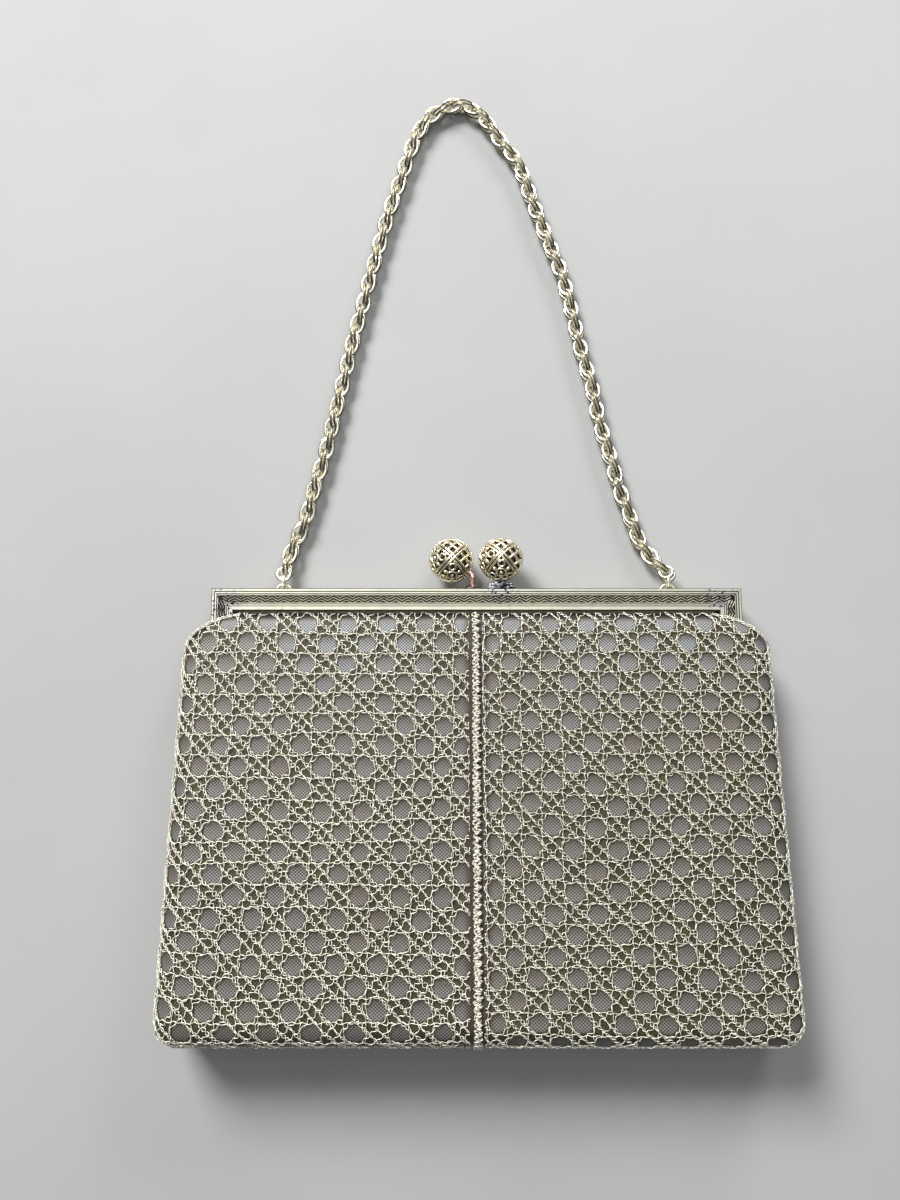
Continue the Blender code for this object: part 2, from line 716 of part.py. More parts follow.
def main():
    for obj in list(bpy.data.objects):
        bpy.data.objects.remove(obj, do_unlink=True)

    frame_pivot = add_pivot("frame_pivot", (0, HINGE_Y, HINGE_Z))
    handle_pivot = add_pivot("handle_pivot", (0, BAR_TOP_Y + GAP + EYELET_RADIUS, REAR_MIDDLE))

    add_frame_half("rear_frame", front=False)
    add_frame_half("front_frame", front=True, pivot=frame_pivot)
    add_hinge_pin("hinge_pin_left", -1)
    add_hinge_pin("hinge_pin_right", 1)
    add_packing("rear_packing_strip", REAR_LOW)
    add_packing("front_packing_strip", FRONT_LOW, frame_pivot)

    add_base("rear_clasp_foot", REAR_LOW, REAR_BASE_X, REAR_BASE_LENGTH)
    add_base("front_clasp_foot", FRONT_LOW, BALL_SPACING / 2, FRONT_BASE_LENGTH, frame_pivot)
    add_rear_stem()
    add_front_stem(frame_pivot)
    add_ball("rear_clasp_ball", -BALL_SPACING / 2, REAR_BALL_Z)
    add_ball("front_clasp_ball", BALL_SPACING / 2, FRONT_BALL_Z, frame_pivot)

    add_fabric(False, "rear", "", None, None)
    add_fabric(True, "front", "_lower", None, LOWER_TOP_Y)
    add_fabric(True, "front", "_upper", UPPER_LOW_Y, None, frame_pivot)
    add_gussets()
    add_linings_and_boards(frame_pivot)

    for side, tag in ((-1, "left"), (1, "right")):
        add_eyelet(f"eyelet_{tag}", side)
        add_jump_ring(f"jump_ring_{tag}", side, handle_pivot)
    add_chain(handle_pivot)


main()
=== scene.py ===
"""Looks of an evening clutch: a kiss-lock frame, a lace-covered bag, pierced balls and a chain.

Lengths inside the classes are in millimetres. They become metres when a mesh is made.
"""

from __future__ import annotations

import logging
import math
from contextlib import contextmanager
from dataclasses import dataclass, field
from itertools import product
from typing import Iterator, Sequence, Union

import bpy
import numpy as np
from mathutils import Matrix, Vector


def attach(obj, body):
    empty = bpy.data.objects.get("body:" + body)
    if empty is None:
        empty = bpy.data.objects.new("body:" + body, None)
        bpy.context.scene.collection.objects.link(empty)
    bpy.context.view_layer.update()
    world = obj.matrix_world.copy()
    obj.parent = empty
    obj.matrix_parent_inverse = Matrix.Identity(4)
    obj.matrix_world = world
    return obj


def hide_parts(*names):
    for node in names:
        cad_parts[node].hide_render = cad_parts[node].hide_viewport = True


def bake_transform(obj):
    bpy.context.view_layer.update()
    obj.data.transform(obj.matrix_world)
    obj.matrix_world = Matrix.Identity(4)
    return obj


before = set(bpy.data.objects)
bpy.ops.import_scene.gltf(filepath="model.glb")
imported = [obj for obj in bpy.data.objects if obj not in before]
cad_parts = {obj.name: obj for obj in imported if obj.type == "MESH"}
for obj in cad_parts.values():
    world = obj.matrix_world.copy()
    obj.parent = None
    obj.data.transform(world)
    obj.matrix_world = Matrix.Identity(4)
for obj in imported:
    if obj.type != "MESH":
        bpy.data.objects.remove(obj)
LOG = logging.getLogger("clutch")
MM = 0.001
TAU = 2 * math.pi
ROOT_HALF = 1 / math.sqrt(2)

Socket = bpy.types.NodeSocket
Object = bpy.types.Object
Material = bpy.types.Material
Triple = tuple[float, float, float]
Value = Union[Socket, float, Triple]
Numbers = Union[float, np.ndarray]


def metres(point: Sequence[float]) -> list[float]:
    """A point or a step in metres."""
    return [value * MM for value in point]


# ---------------------------------------------------------------- materials


class Graph:
    """A node material with a Principled shader and short calls that add nodes to it."""

    def __init__(self, name: str, roughness: float = 0.5, metallic: float = 0.0) -> None:
        """Makes the material.

        Args:
            name: the material's name.
            roughness: the shader's roughness.
            metallic: the shader's metallic value.
        """
        self.material = bpy.data.materials.new(name)
        self.material.use_nodes = True
        self.tree = self.material.node_tree
        self.shader = self.tree.nodes["Principled BSDF"]
        self.shader.inputs["Roughness"].default_value = roughness
        self.shader.inputs["Metallic"].default_value = metallic

    def put(self, socket: Socket, value: Value) -> None:
        """Links an output to a socket, or sets a constant on it.

        Args:
            socket: the input socket.
            value: an output socket, a number or a colour.
        """
        if isinstance(value, Socket):
            self.tree.links.new(value, socket)
        elif isinstance(value, tuple) and len(value) == 3 and socket.type == "RGBA":
            socket.default_value = (*value, 1.0)
        else:
            socket.default_value = value

    def set(self, name: str, value: Value) -> None:
        """Sets one input of the Principled shader to an output socket or a constant."""
        self.put(self.shader.inputs[name], value)

    def math(self, operation: str, first: Value, second: Value = 0.0) -> Socket:
        """One math node.

        Args:
            operation: the node's operation.
            first: its first value.
            second: its second value.

        Returns:
            The node's output.
        """
        node = self.tree.nodes.new("ShaderNodeMath")
        node.operation = operation
        for socket, value in zip(node.inputs, (first, second)):
            self.put(socket, value)
        return node.outputs[0]

    def place(self) -> Socket:
        """Object coordinates, as a vector output."""
        return self.tree.nodes.new("ShaderNodeTexCoord").outputs["Object"]

    def split(self, vector: Socket) -> Sequence[Socket]:
        """The three parts of a vector.

        Args:
            vector: the vector's output.

        Returns:
            The three value outputs.
        """
        node = self.tree.nodes.new("ShaderNodeSeparateXYZ")
        self.put(node.inputs[0], vector)
        return node.outputs

    def attribute(self, name: str) -> Sequence[Socket]:
        """A vector attribute of the mesh, split in three.

        Args:
            name: the attribute's name.

        Returns:
            The three value outputs.
        """
        node = self.tree.nodes.new("ShaderNodeAttribute")
        node.attribute_name = name
        return self.split(node.outputs["Vector"])

    def noise(self, scale: float, detail: float = 3.0, rough: float = 0.55) -> Socket:
        """A noise texture on Object coordinates.

        Args:
            scale: the noise's scale.
            detail: its detail.
            rough: its roughness.

        Returns:
            The value output.
        """
        node = self.tree.nodes.new("ShaderNodeTexNoise")
        self.put(node.inputs["Vector"], self.place())
        node.inputs["Scale"].default_value = scale
        node.inputs["Detail"].default_value = detail
        node.inputs["Roughness"].default_value = rough
        return node.outputs[0]

    def range(self, value: Socket, low: float, high: float, start: float = 0.0, end: float = 1.0) -> Socket:
        """A smooth step from start to end while a value goes from low to high.

        Args:
            value: the value read.
            low: where the step starts.
            high: where it ends.
            start: the result below low.
            end: the result above high.

        Returns:
            The result's output.
        """
        node = self.tree.nodes.new("ShaderNodeMapRange")
        node.interpolation_type = "SMOOTHSTEP"
        self.put(node.inputs["Value"], value)
        for name, number in (("From Min", low), ("From Max", high), ("To Min", start), ("To Max", end)):
            node.inputs[name].default_value = number
        return node.outputs[0]

    def mix(self, share: Socket, first: Value, second: Value) -> Socket:
        """A mix of two colours.

        Args:
            share: how much of the second colour.
            first: a colour.
            second: a colour.

        Returns:
            The colour output.
        """
        node = self.tree.nodes.new("ShaderNodeMix")
        node.data_type = "RGBA"
        self.put(node.inputs[0], share)
        self.put(node.inputs[6], first)
        self.put(node.inputs[7], second)
        return node.outputs[2]

    def spot(self, centre: Sequence[float], radius: float, soft: float) -> Socket:
        """A round mask about a point in Object coordinates.

        Args:
            centre: the point, in millimetres.
            radius: where the mask starts to fade, in millimetres.
            soft: how far it takes to fade, in millimetres.

        Returns:
            The mask's output, 1 at the point.
        """
        node = self.tree.nodes.new("ShaderNodeVectorMath")
        node.operation = "DISTANCE"
        self.put(node.inputs[0], self.place())
        node.inputs[1].default_value = metres(centre)
        return self.range(node.outputs["Value"], radius * MM, (radius + soft) * MM, 1.0, 0.0)

    def bump(self, height: Socket, distance: float, strength: float = 1.0) -> None:
        """Puts a bump node on the shader's normal.

        Args:
            height: the height's output.
            distance: the bump's height in millimetres.
            strength: the bump's strength.
        """
        node = self.tree.nodes.new("ShaderNodeBump")
        node.inputs["Strength"].default_value = strength
        node.inputs["Distance"].default_value = distance * MM
        self.put(node.inputs["Height"], height)
        self.set("Normal", node.outputs[0])


@dataclass(frozen=True)
class Gilt:
    """A plated metal finish: clean colour, tarnish, roughness and worn spots, with optional painted shade
    in the recesses of a stamped relief and on one side of chain links' wire.
    """

    name: str
    clean: Triple
    dull: Triple
    roughness: float = 0.3
    tarnish: float = 0.5
    spots: tuple[tuple[float, float, float, float], ...] = ()
    # Painted shade for the recesses of a stamped relief, mixed in by the relief attribute's depth.
    groove_shade: Triple | None = None
    # Painted shade for one side of a strand's section, picked by the strand attribute.
    inner: Triple | None = None
    bare: Triple = (0.52, 0.50, 0.47)
    pit: Triple = (0.02, 0.014, 0.01)

    def wear(self, g: Graph, colour: Socket) -> Socket:
        """Adds bare metal and black pits at the worn spots.

        Args:
            g: the material's graph.
            colour: the plating's colour.

        Returns:
            The colour with its wear.
        """
        masks = [g.spot((x, y, z), radius * 0.35, radius * 0.9) for x, y, z, radius in self.spots]
        worn = masks[0]
        for mask in masks[1:]:
            worn = g.math("MAXIMUM", worn, mask)
        speck = g.noise(1500.0, 4.0, rough=0.7)
        rubbed = g.range(g.math("ADD", speck, g.math("MULTIPLY", worn, 0.25)), 0.55, 0.66)
        colour = g.mix(g.math("MULTIPLY", rubbed, worn), colour, self.bare)
        pits = g.range(g.noise(1100.0, 1.0), 0.60, 0.64)
        return g.mix(g.math("MULTIPLY", pits, worn), colour, self.pit)

    def make(self) -> Material:
        """Makes the finish's material.

        Returns:
            The material.
        """
        g = Graph(self.name, self.roughness, 1.0)
        cloud = g.noise(260.0, 5.0, rough=0.65)
        grime = g.range(cloud, 0.66 - 0.3 * self.tarnish, 0.82 - 0.2 * self.tarnish)
        colour = g.mix(grime, self.clean, self.dull)
        if self.spots:
            colour = self.wear(g, colour)
        # Painted shade: the recesses of the stamped relief are darkened by their depth.
        if self.groove_shade:
            depth = g.attribute("relief")[0]
            colour = g.mix(g.range(depth, 0.05, 0.20, 0.0, 0.97), colour, self.groove_shade)
        # Painted shade: one side of each chain link's wire is darkened, standing in for the shade between
        # crowded links.
        if self.inner:
            side = g.attribute("strand")[1]
            colour = g.mix(g.range(side, 0.35, 0.9, 0.0, 0.9), colour, self.inner)
        g.set("Base Color", colour)
        g.set("Roughness", g.range(cloud, 0.3, 0.75, self.roughness, self.roughness + 0.25))
        g.bump(g.noise(1800.0, 4.0), 0.05, 0.35)
        return g.material


@dataclass(frozen=True)
class Thread:
    """A metal-wrapped two-ply thread, its twist along the strand painted as light and shade."""

    name: str
    light: Triple
    shade: Triple
    pitch: float = 2.1
    metallic: float = 0.12

    def make(self) -> Material:
        """Makes the thread's material.

        Returns:
            The material.
        """
        g = Graph(self.name, 0.42, self.metallic)
        along, across, up = g.attribute("strand")
        turn = g.math("MULTIPLY", along, TAU / self.pitch)
        wave = g.math(
            "ADD",
            g.math("MULTIPLY", g.math("SINE", turn), across),
            g.math("MULTIPLY", g.math("COSINE", turn), up),
        )
        # Painted light and shade: each ply is light where it faces up and shaded where it turns away.
        ply = g.range(wave, -0.75, 0.1)
        patch = g.noise(420.0, 4.0, rough=0.7)
        bright = g.math("ADD", g.math("MULTIPLY", ply, 0.85), 0.15)
        bright = g.math("MULTIPLY", bright, g.range(patch, 0.20, 0.44))
        g.set("Base Color", g.mix(bright, self.shade, self.light))
        g.set("Roughness", g.range(patch, 0.3, 0.7, 0.6, 0.34))
        g.bump(ply, 0.12, 0.8)
        return g.material


@dataclass(frozen=True)
class GroundCloth:
    """The ground cloth: lilac-grey in the lace's big holes and dark greenish-brown under its threads,
    partly its own tone and partly painted shade of the threads, with more painted light and shade: lighter
    towards the top, a shadow over each hole's top, darker between the yarns, beside the seam and under the
    frame's bar.
    """

    name: str = "ground_cloth_weave"
    shaded_low_lilac: Triple = (0.175, 0.17, 0.163)
    lit_high_lilac: Triple = (0.28, 0.29, 0.305)
    brown: Triple = (0.19, 0.155, 0.12)
    hole_top_shadow: Triple = (0.085, 0.07, 0.048)
    weave_gap_shade: Triple = (0.022, 0.019, 0.016)
    olive_and_lace_shade: Triple = (0.047, 0.041, 0.015)
    deep_olive_and_lace_shade: Triple = (0.026, 0.022, 0.008)
    seam_valley_shade: Triple = (0.035, 0.023, 0.014)
    under_bar_shadow: Triple = (0.012, 0.008, 0.006)
    weave_across: float = 1.04
    weave_up: float = 0.94

    def weave(self, g: Graph) -> Socket:
        """The height of a plain weave on Object coordinates.

        Args:
            g: the material's graph.

        Returns:
            The height's output.
        """
        x, y, _ = g.split(g.place())
        across = g.math("SINE", g.math("MULTIPLY", x, TAU / (self.weave_across * MM)))
        up = g.math("SINE", g.math("MULTIPLY", y, TAU / (self.weave_up * MM)))
        return g.math("MULTIPLY", across, up)

    def eight_sided(self, g: Graph, place: Sequence[Socket], shift: float) -> tuple[Socket, Socket]:
        """The nearest hole of one of the lace's two sets.

        Args:
            g: the material's graph.
            place: the place in the repeat, across and up.
            shift: how far the set is moved, in repeats.

        Returns:
            The eight-sided distance from the hole's middle, and the signed rise above it.
        """
        near = []
        for value in place:
            moved = g.math("ADD", value, shift)
            near.append(g.math("SUBTRACT", moved, g.math("ROUND", moved)))
        flat, rise = (g.math("ABSOLUTE", value) for value in near)
        slant = g.math("MULTIPLY", g.math("ADD", flat, rise), ROOT_HALF)
        return g.math("MAXIMUM", g.math("MAXIMUM", flat, rise), slant), near[1]

    def lilac(self, g: Graph, y: Socket, rise: Socket) -> Socket:
        """The colour of the cloth that shows in the big holes, with painted light that makes it lighter
        towards the top of the bag and a painted shadow over the top of each hole.

        Args:
            g: the material's graph.
            y: the place up the bag, in metres.
            rise: the signed rise above the hole's middle, in repeats.

        Returns:
            The colour.
        """
        cloud = g.noise(45.0, 3.0)
        # Painted light: the cloth is lighter towards the top of the bag, where more light falls.
        light = g.mix(g.range(y, 22.0 * MM, 46.0 * MM), self.shaded_low_lilac, self.lit_high_lilac)
        light = g.mix(g.range(cloud, 0.40, 0.68, 0.0, 0.6), light, self.brown)
        # Painted shadow: the upper part of each big hole is darkened, as if shaded by the threads above it.
        hole_shadow_share = g.range(g.math("ADD", rise, g.math("MULTIPLY", cloud, 0.15)), -0.06, 0.30, 0.0, 0.9)
        return g.mix(hole_shadow_share, light, self.hole_top_shadow)

    def make(self) -> Material:
        """Makes the cloth's material.

        Returns:
            The material.
        """
        g = Graph(self.name, 0.55, 0.2)
        across, up, seam = g.attribute("lace_at")
        y = g.split(g.place())[1]
        first, first_rise = self.eight_sided(g, (across, up), 0.0)
        second, second_rise = self.eight_sided(g, (across, up), 0.5)
        hole = g.math("MINIMUM", first, second)
        is_first = g.math("LESS_THAN", first, second)
        rise = g.math(
            "ADD",
            g.math("MULTIPLY", first_rise, is_first),
            g.math("MULTIPLY", second_rise, g.math("SUBTRACT", 1.0, is_first)),
        )
        weave = self.weave(g)
        # Painted shade: the low points between the weave's yarns are darkened by the weave's height.
        lilac = g.mix(g.range(weave, -0.45, 0.25, 0.9, 0.0), self.lilac(g, y, rise), self.weave_gap_shade)
        # Under the lace threads the colour is partly the cloth's own tone and partly painted shade of the
        # threads above.
        olive_and_lace_shade = g.mix(g.range(g.noise(300.0, 3.0), 0.35, 0.65), self.olive_and_lace_shade, self.deep_olive_and_lace_shade)
        colour = g.mix(g.range(hole, 0.19, 0.25), lilac, olive_and_lace_shade)
        # Painted shade beside the seam, where the lace is pinched into a valley.
        colour = g.mix(g.range(seam, 2.4, 5.0, 0.85, 0.0), colour, self.seam_valley_shade)
        # Painted shadow along the top of the cloth, under the frame's bar.
        colour = g.mix(g.range(y, 48.2 * MM, 50.0 * MM, 0.0, 0.92), colour, self.under_bar_shadow)
        g.set("Base Color", colour)
        g.bump(weave, 0.08, 0.8)
        return g.material


@dataclass(frozen=True)
class Matt:
    """A matt finish with a two-tone noise and a fine bump."""

    name: str
    colour: Triple
    dark: Triple
    roughness: float
    scale: float = 300.0
    height: float = 0.1

    def make(self) -> Material:
        """Makes the finish's material.

        Returns:
            The material.
        """
        g = Graph(self.name, self.roughness)
        cloud = g.noise(self.scale, 4.0)
        g.set("Base Color", g.mix(g.range(cloud, 0.35, 0.65), self.colour, self.dark))
        g.bump(g.noise(self.scale * 6, 3.0), self.height, 0.5)
        return g.material


# Each worn spot is a place and a radius: the two corners, the front foot and the rear foot.
WORN_SPOTS = (
    (-79.0, 53.5, 13.9, 7.0),
    (76.0, 56.0, 13.9, 6.0),
    (7.5, 58.5, 13.9, 6.0),
    (-2.0, 59.0, 8.0, 5.0),
)


class Palette:
    """Every finish of the clutch, made once."""

    def __init__(self) -> None:
        """Makes the materials."""
        # The frame's stamped relief gets painted shade in its recesses, from the relief attribute's depth.
        self.frame = Gilt(
            "champagne_gilt", (0.54, 0.535, 0.43), (0.36, 0.34, 0.22), 0.40, 0.3, WORN_SPOTS,
            groove_shade=(0.012, 0.009, 0.004),
        ).make()
        self.ball = Gilt("filigree_gilt", (0.93, 0.85, 0.64), (0.42, 0.30, 0.13), 0.16, 0.35).make()
        # The inner colour is painted shade on one side of each link's wire.
        self.chain = Gilt(
            "chain_gilt", (1.0, 0.96, 0.80), (0.66, 0.56, 0.34), 0.24, 0.10, inner=(0.05, 0.036, 0.014)
        ).make()
        self.worn = Gilt("worn_plate", (0.50, 0.51, 0.55), (0.008, 0.007, 0.007), 0.30, 1.12).make()
        self.copper = Gilt("bent_wire", (0.72, 0.50, 0.42), (0.14, 0.07, 0.05), 0.3, 0.6).make()
        # The dark matt sphere inside each pierced ball is painted shade for its hollow inside.
        self.hollow = Matt("ball_inside_shade", (0.06, 0.042, 0.022), (0.02, 0.013, 0.007), 0.6).make()
        self.lace = Thread("gilt_thread", (1.0, 0.98, 0.84), (0.15, 0.125, 0.058)).make()
        self.seam = Thread("seam_thread", (0.72, 0.69, 0.58), (0.05, 0.037, 0.018), 1.5).make()
        self.ground = GroundCloth().make()
        self.gusset = Matt("gusset_cloth", (0.30, 0.27, 0.24), (0.20, 0.17, 0.12), 0.7, 900.0).make()
        self.satin = Matt("satin", (0.56, 0.48, 0.34), (0.46, 0.38, 0.26), 0.38, 60.0, 0.05).make()
        self.card = Matt("card", (0.22, 0.16, 0.10), (0.16, 0.11, 0.07), 0.9, 500.0).make()
        self.paper = Matt("pressed_paper", (0.42, 0.34, 0.22), (0.30, 0.24, 0.15), 0.9, 900.0).make()
        self.steel = Gilt("rivet_steel", (0.45, 0.43, 0.40), (0.15, 0.13, 0.11), 0.4, 0.4).make()


# ---------------------------------------------------------------- mesh helpers


def select_none() -> None:
    """Deselects everything."""
    bpy.ops.object.select_all(action="DESELECT")


def select_only(*objects: Object) -> None:
    """Selects these objects, the first one active.

    Args:
        objects: the objects.
    """
    select_none()
    for obj in objects:
        obj.select_set(True)
    bpy.context.view_layer.objects.active = objects[0]


@contextmanager
def editing(obj: Object) -> Iterator[None]:
    """Edit mode on one object with all of it selected, and object mode again after the block.

    Args:
        obj: the object.

    Yields:
        Nothing.
    """
    select_only(obj)
    bpy.ops.object.mode_set(mode="EDIT")
    bpy.ops.mesh.select_all(action="SELECT")
    yield
    bpy.ops.object.mode_set(mode="OBJECT")


def finish_piece(obj: Object, name: str, material: Material) -> Object:
    """Names a piece, applies its place and gives it its material.

    Args:
        obj: the piece.
        name: its name.
        material: its material.

    Returns:
        The piece.
    """
    select_only(obj)
    bpy.ops.object.transform_apply(location=True, rotation=True, scale=True)
    obj.name = name
    obj.data.name = name
    obj.data.materials.clear()
    obj.data.materials.append(material)
    LOG.info("%s: %d faces", name, len(obj.data.polygons))
    return obj


def joined(objects: Sequence[Object]) -> Object:
    """Joins objects into the first one.

    Args:
        objects: the objects.

    Returns:
        The joined object.
    """
    select_only(*objects)
    bpy.ops.object.join()
    return bpy.context.view_layer.objects.active


def mesh_object(name: str, points: np.ndarray, faces: list, values: dict | None = None) -> Object:
    """A smooth mesh object from points in millimetres.

    Args:
        name: the object's name.
        points: the vertices.
        faces: the faces.
        values: vector attributes of the vertices, by name.

    Returns:
        The object.
    """
    mesh = bpy.data.meshes.new(name)
    mesh.from_pydata((np.asarray(points) * MM).tolist(), [], faces)
    for key, value in (values or {}).items():
        layer = mesh.attributes.new(key, "FLOAT_VECTOR", "POINT")
        layer.data.foreach_set("vector", np.asarray(value, np.float32).ravel())
    mesh.update()
    mesh.shade_smooth()
    obj = bpy.data.objects.new(name, mesh)
    bpy.context.scene.collection.objects.link(obj)
    return obj


def outward(obj: Object) -> Object:
    """Turns a closed mesh's faces outwards.

    Args:
        obj: the object.

    Returns:
        The object.
    """
    with editing(obj):
        bpy.ops.mesh.normals_make_consistent(inside=False)
    return obj


def unit(vectors: np.ndarray) -> np.ndarray:
    """Vectors at length 1."""
    return vectors / np.maximum(np.linalg.norm(vectors, axis=-1, keepdims=True), 1e-9)


def path_length(path: np.ndarray) -> float:
    """The length of a line of points."""
    return float(np.sum(np.linalg.norm(np.diff(path, axis=0), axis=1)))


def slab(name: str, outer: np.ndarray, inner: np.ndarray, values: dict | None = None) -> Object:
    """A closed sheet between two grids of points.

    Args:
        name: the object's name.
        outer: rows by columns of points.
        inner: the same for the other side.
        values: vector attributes on the outer grid, by name.

    Returns:
        The object.
    """
    rows, columns = outer.shape[:2]
    index = np.arange(rows * columns).reshape(rows, columns)
    a, b, c, d = index[:-1, :-1], index[1:, :-1], index[1:, 1:], index[:-1, 1:]
    face = np.stack([a, b, c, d], -1).reshape(-1, 4)
    back = face[:, ::-1] + rows * columns
    rim = np.concatenate([index[0], index[1:, -1], index[-1, -2::-1], index[-2:0:-1, 0]])
    after = np.roll(rim, -1)
    edge = np.stack([rim, after, after + rows * columns, rim + rows * columns], -1)
    points = np.concatenate([outer.reshape(-1, 3), inner.reshape(-1, 3)])
    doubled = {k: np.concatenate([v.reshape(-1, 3)] * 2) for k, v in (values or {}).items()}
    faces = np.concatenate([face, back, edge]).tolist()
    return outward(mesh_object(name, points, faces, doubled))


class Strands:
    """Many thin round strands that become one mesh."""

    def __init__(self, sides: int = 5) -> None:
        """Starts an empty set.

        Args:
            sides: the facets round each strand.
        """
        self.sides = sides
        self.points: list[np.ndarray] = []
        self.values: list[np.ndarray] = []
        self.faces: list = []
        self.count = 0

    def add(self, line: np.ndarray, normal: np.ndarray, radius: float, closed: bool = False) -> None:
        """Adds one strand.

        Args:
            line: the points of its middle.
            normal: the direction at each point that its section's second axis leans to.
            radius: its radius.
            closed: whether it joins its own start.
        """
        line = np.asarray(line, float)
        normal = np.broadcast_to(np.asarray(normal, float), line.shape)
        if closed:
            tangent = np.roll(line, -1, 0) - np.roll(line, 1, 0)
        else:
            tangent = np.gradient(line, axis=0)
        tangent = unit(tangent)
        side = unit(np.cross(tangent, normal))
        rise = np.cross(side, tangent)
        angle = np.arange(self.sides) * TAU / self.sides
        wave, lift = np.cos(angle), np.sin(angle)
        ring = side[:, None] * wave[None, :, None] + rise[:, None] * lift[None, :, None]
        radius = np.broadcast_to(np.asarray(radius, float), len(line))
        points = line[:, None] + ring * radius[:, None, None]
        along = np.concatenate([[0], np.cumsum(np.linalg.norm(np.diff(line, axis=0), axis=1))])
        value = np.empty((len(line), self.sides, 3))
        value[..., 0] = along[:, None]
        value[..., 1] = wave
        value[..., 2] = lift
        rows = np.arange(len(line) if closed else len(line) - 1)[:, None]
        after = (rows + 1) % len(line)
        k = np.arange(self.sides)[None]
        j = (k + 1) % self.sides
        s = self.sides
        quads = np.stack([rows * s + k, after * s + k, after * s + j, rows * s + j], -1)
        self.faces += (quads.reshape(-1, 4) + self.count).tolist()
        if not closed:
            start = list(range(self.count, self.count + s))
            self.faces.append(start)
            self.faces.append([x + (len(line) - 1) * s for x in reversed(start)])
        self.points.append(points.reshape(-1, 3))
        self.values.append(value.reshape(-1, 3))
        self.count += len(line) * s

    def build(self, name: str) -> Object:
        """Makes one mesh object of all the strands."""
        values = {"strand": np.concatenate(self.values)}
        return mesh_object(name, np.concatenate(self.points), self.faces, values)


def wander(x: Numbers, y: Numbers, seed: int, wave: float, size: float) -> np.ndarray:
    """A smooth uneven shift over a plane.

    Args:
        x: places across.
        y: places up.
        seed: the pattern's seed.
        wave: its usual wavelength.
        size: its usual height.

    Returns:
        The shift at each place.
    """
    random = np.random.default_rng(seed)
    total = np.zeros(np.broadcast(x, y).shape)
    for _ in range(5):
        angle, phase = random.uniform(0, TAU, 2)
        length = wave * random.uniform(0.7, 1.6)
        total += np.sin(TAU * (x * math.cos(angle) + y * math.sin(angle)) / length + phase)
    return total * size * 0.5


# ---------------------------------------------------------------- the bag's form


@dataclass(frozen=True)
class Form:
    """The bag's unrolled surface: a runs across its face and b up it, then round its edges."""

    bottom: float = -75.575
    length: float = 127.2
    bottom_width: float = 189.0
    top_width: float = 184.0
    bottom_depth: float = 26.0
    top_depth: float = 16.8
    roll: float = 7.8
    core_high: float = 47.74
    top_roll: float = math.radians(29.9)
    corner_drop: float = 14.5
    hinge_y: float = 17.925
    puff: float = 0.9
    dive: float = 2.4
    dive_reach: float = 3.8
    corner_start: float = 73.0
    corner_power: float = 1.7
    rear_top: float = 60.0

    @property
    def core_half(self) -> float:
        """Half the width of the flat core."""
        return self.bottom_width / 2 - self.roll

    @property
    def core_low(self) -> float:
        """The low end of the flat core."""
        return self.bottom + self.roll

    @property
    def quarter(self) -> float:
        """The length of a rolled edge."""
        return self.roll * math.pi / 2

    def depth(self, y: Numbers) -> Numbers:
        """The bag's thickness at y."""
        return self.bottom_depth + (self.top_depth - self.bottom_depth) * (y - self.bottom) / self.length

    def taper(self, y: Numbers) -> Numbers:
        """The width at y as a share of the bottom's."""
        return 1 + (self.top_width / self.bottom_width - 1) * (y - self.bottom) / self.length

    def low(self, a: np.ndarray) -> np.ndarray:
        """The lowest b of the skin at a."""
        past = np.clip((np.abs(a) - self.core_half) / self.quarter, 0, 1)
        return self.core_low - self.quarter * np.sqrt(np.maximum(1 - (past * 0.98) ** 2, 0))

    def high(self, a: np.ndarray, front: bool) -> np.ndarray:
        """The upper end of the skin at a.

        Args:
            a: the place across.
            front: whether it is the front's skin.

        Returns:
            The highest b.
        """
        start = self.corner_start
        past = np.clip((np.abs(a) - start) / (self.core_half + self.quarter - start), 0, 1)
        drop = self.corner_drop * past**self.corner_power
        return self.core_high + (self.roll * self.top_roll if front else 3.9) - drop

    def place(self, a: Numbers, b: Numbers, inset: Numbers, front: bool) -> np.ndarray:
        """Points of the bag's skin.

        Args:
            a: places across.
            b: places up.
            inset: how far inside the outer face.
            front: whether it is the front's skin.

        Returns:
            An array of points.
        """
        a, b, inset = np.broadcast_arrays(np.asarray(a, float), b, inset)
        core_x = np.clip(a, -self.core_half, self.core_half)
        core_y = np.clip(b, self.core_low, self.core_high if front else self.rear_top)
        over = np.hypot(a - core_x, b - core_y)
        turned = over / self.roll
        safe = np.maximum(over, 1e-9)
        radius = self.roll - inset
        x = core_x + (a - core_x) / safe * radius * np.sin(turned)
        y = core_y + (b - core_y) / safe * radius * np.sin(turned)
        z = self.roll - radius * np.cos(turned)
        if front:
            z = self.depth(y) - z + self.swell(a, b) * np.cos(np.minimum(turned, math.pi / 2))
            near = np.clip(1 + (b - self.high(a, True)) / self.dive_reach, 0, 1)
            near = near * np.clip((88.0 - np.abs(a)) / 10.0, 0, 1)
            z = z - self.dive * near**1.8
        return np.stack([x * self.taper(y), y, z], -1)

    def swell(self, a: np.ndarray, b: np.ndarray) -> np.ndarray:
        """How far the soft front stands above the stiff board.

        Args:
            a: places across.
            b: places up.

        Returns:
            The extra height.
        """
        half = np.clip(np.abs(a) / self.core_half, 0, 1)
        up = np.clip((b - self.core_low) / (self.core_high - self.core_low), 0, 1)
        dome = np.sin(math.pi * half) ** 0.7 * np.sin(math.pi * (0.08 + 0.92 * up)) ** 0.5
        ripple = wander(a, b, 4, 34.0, 0.16)
        return dome * (self.puff + ripple)

    def normal(self, a: Numbers, b: Numbers, front: bool) -> np.ndarray:
        """Outward directions of one side's skin at a and b."""
        return unit(self.place(a, b, -0.2, front) - self.place(a, b, 0.4, front))


FORM = Form()


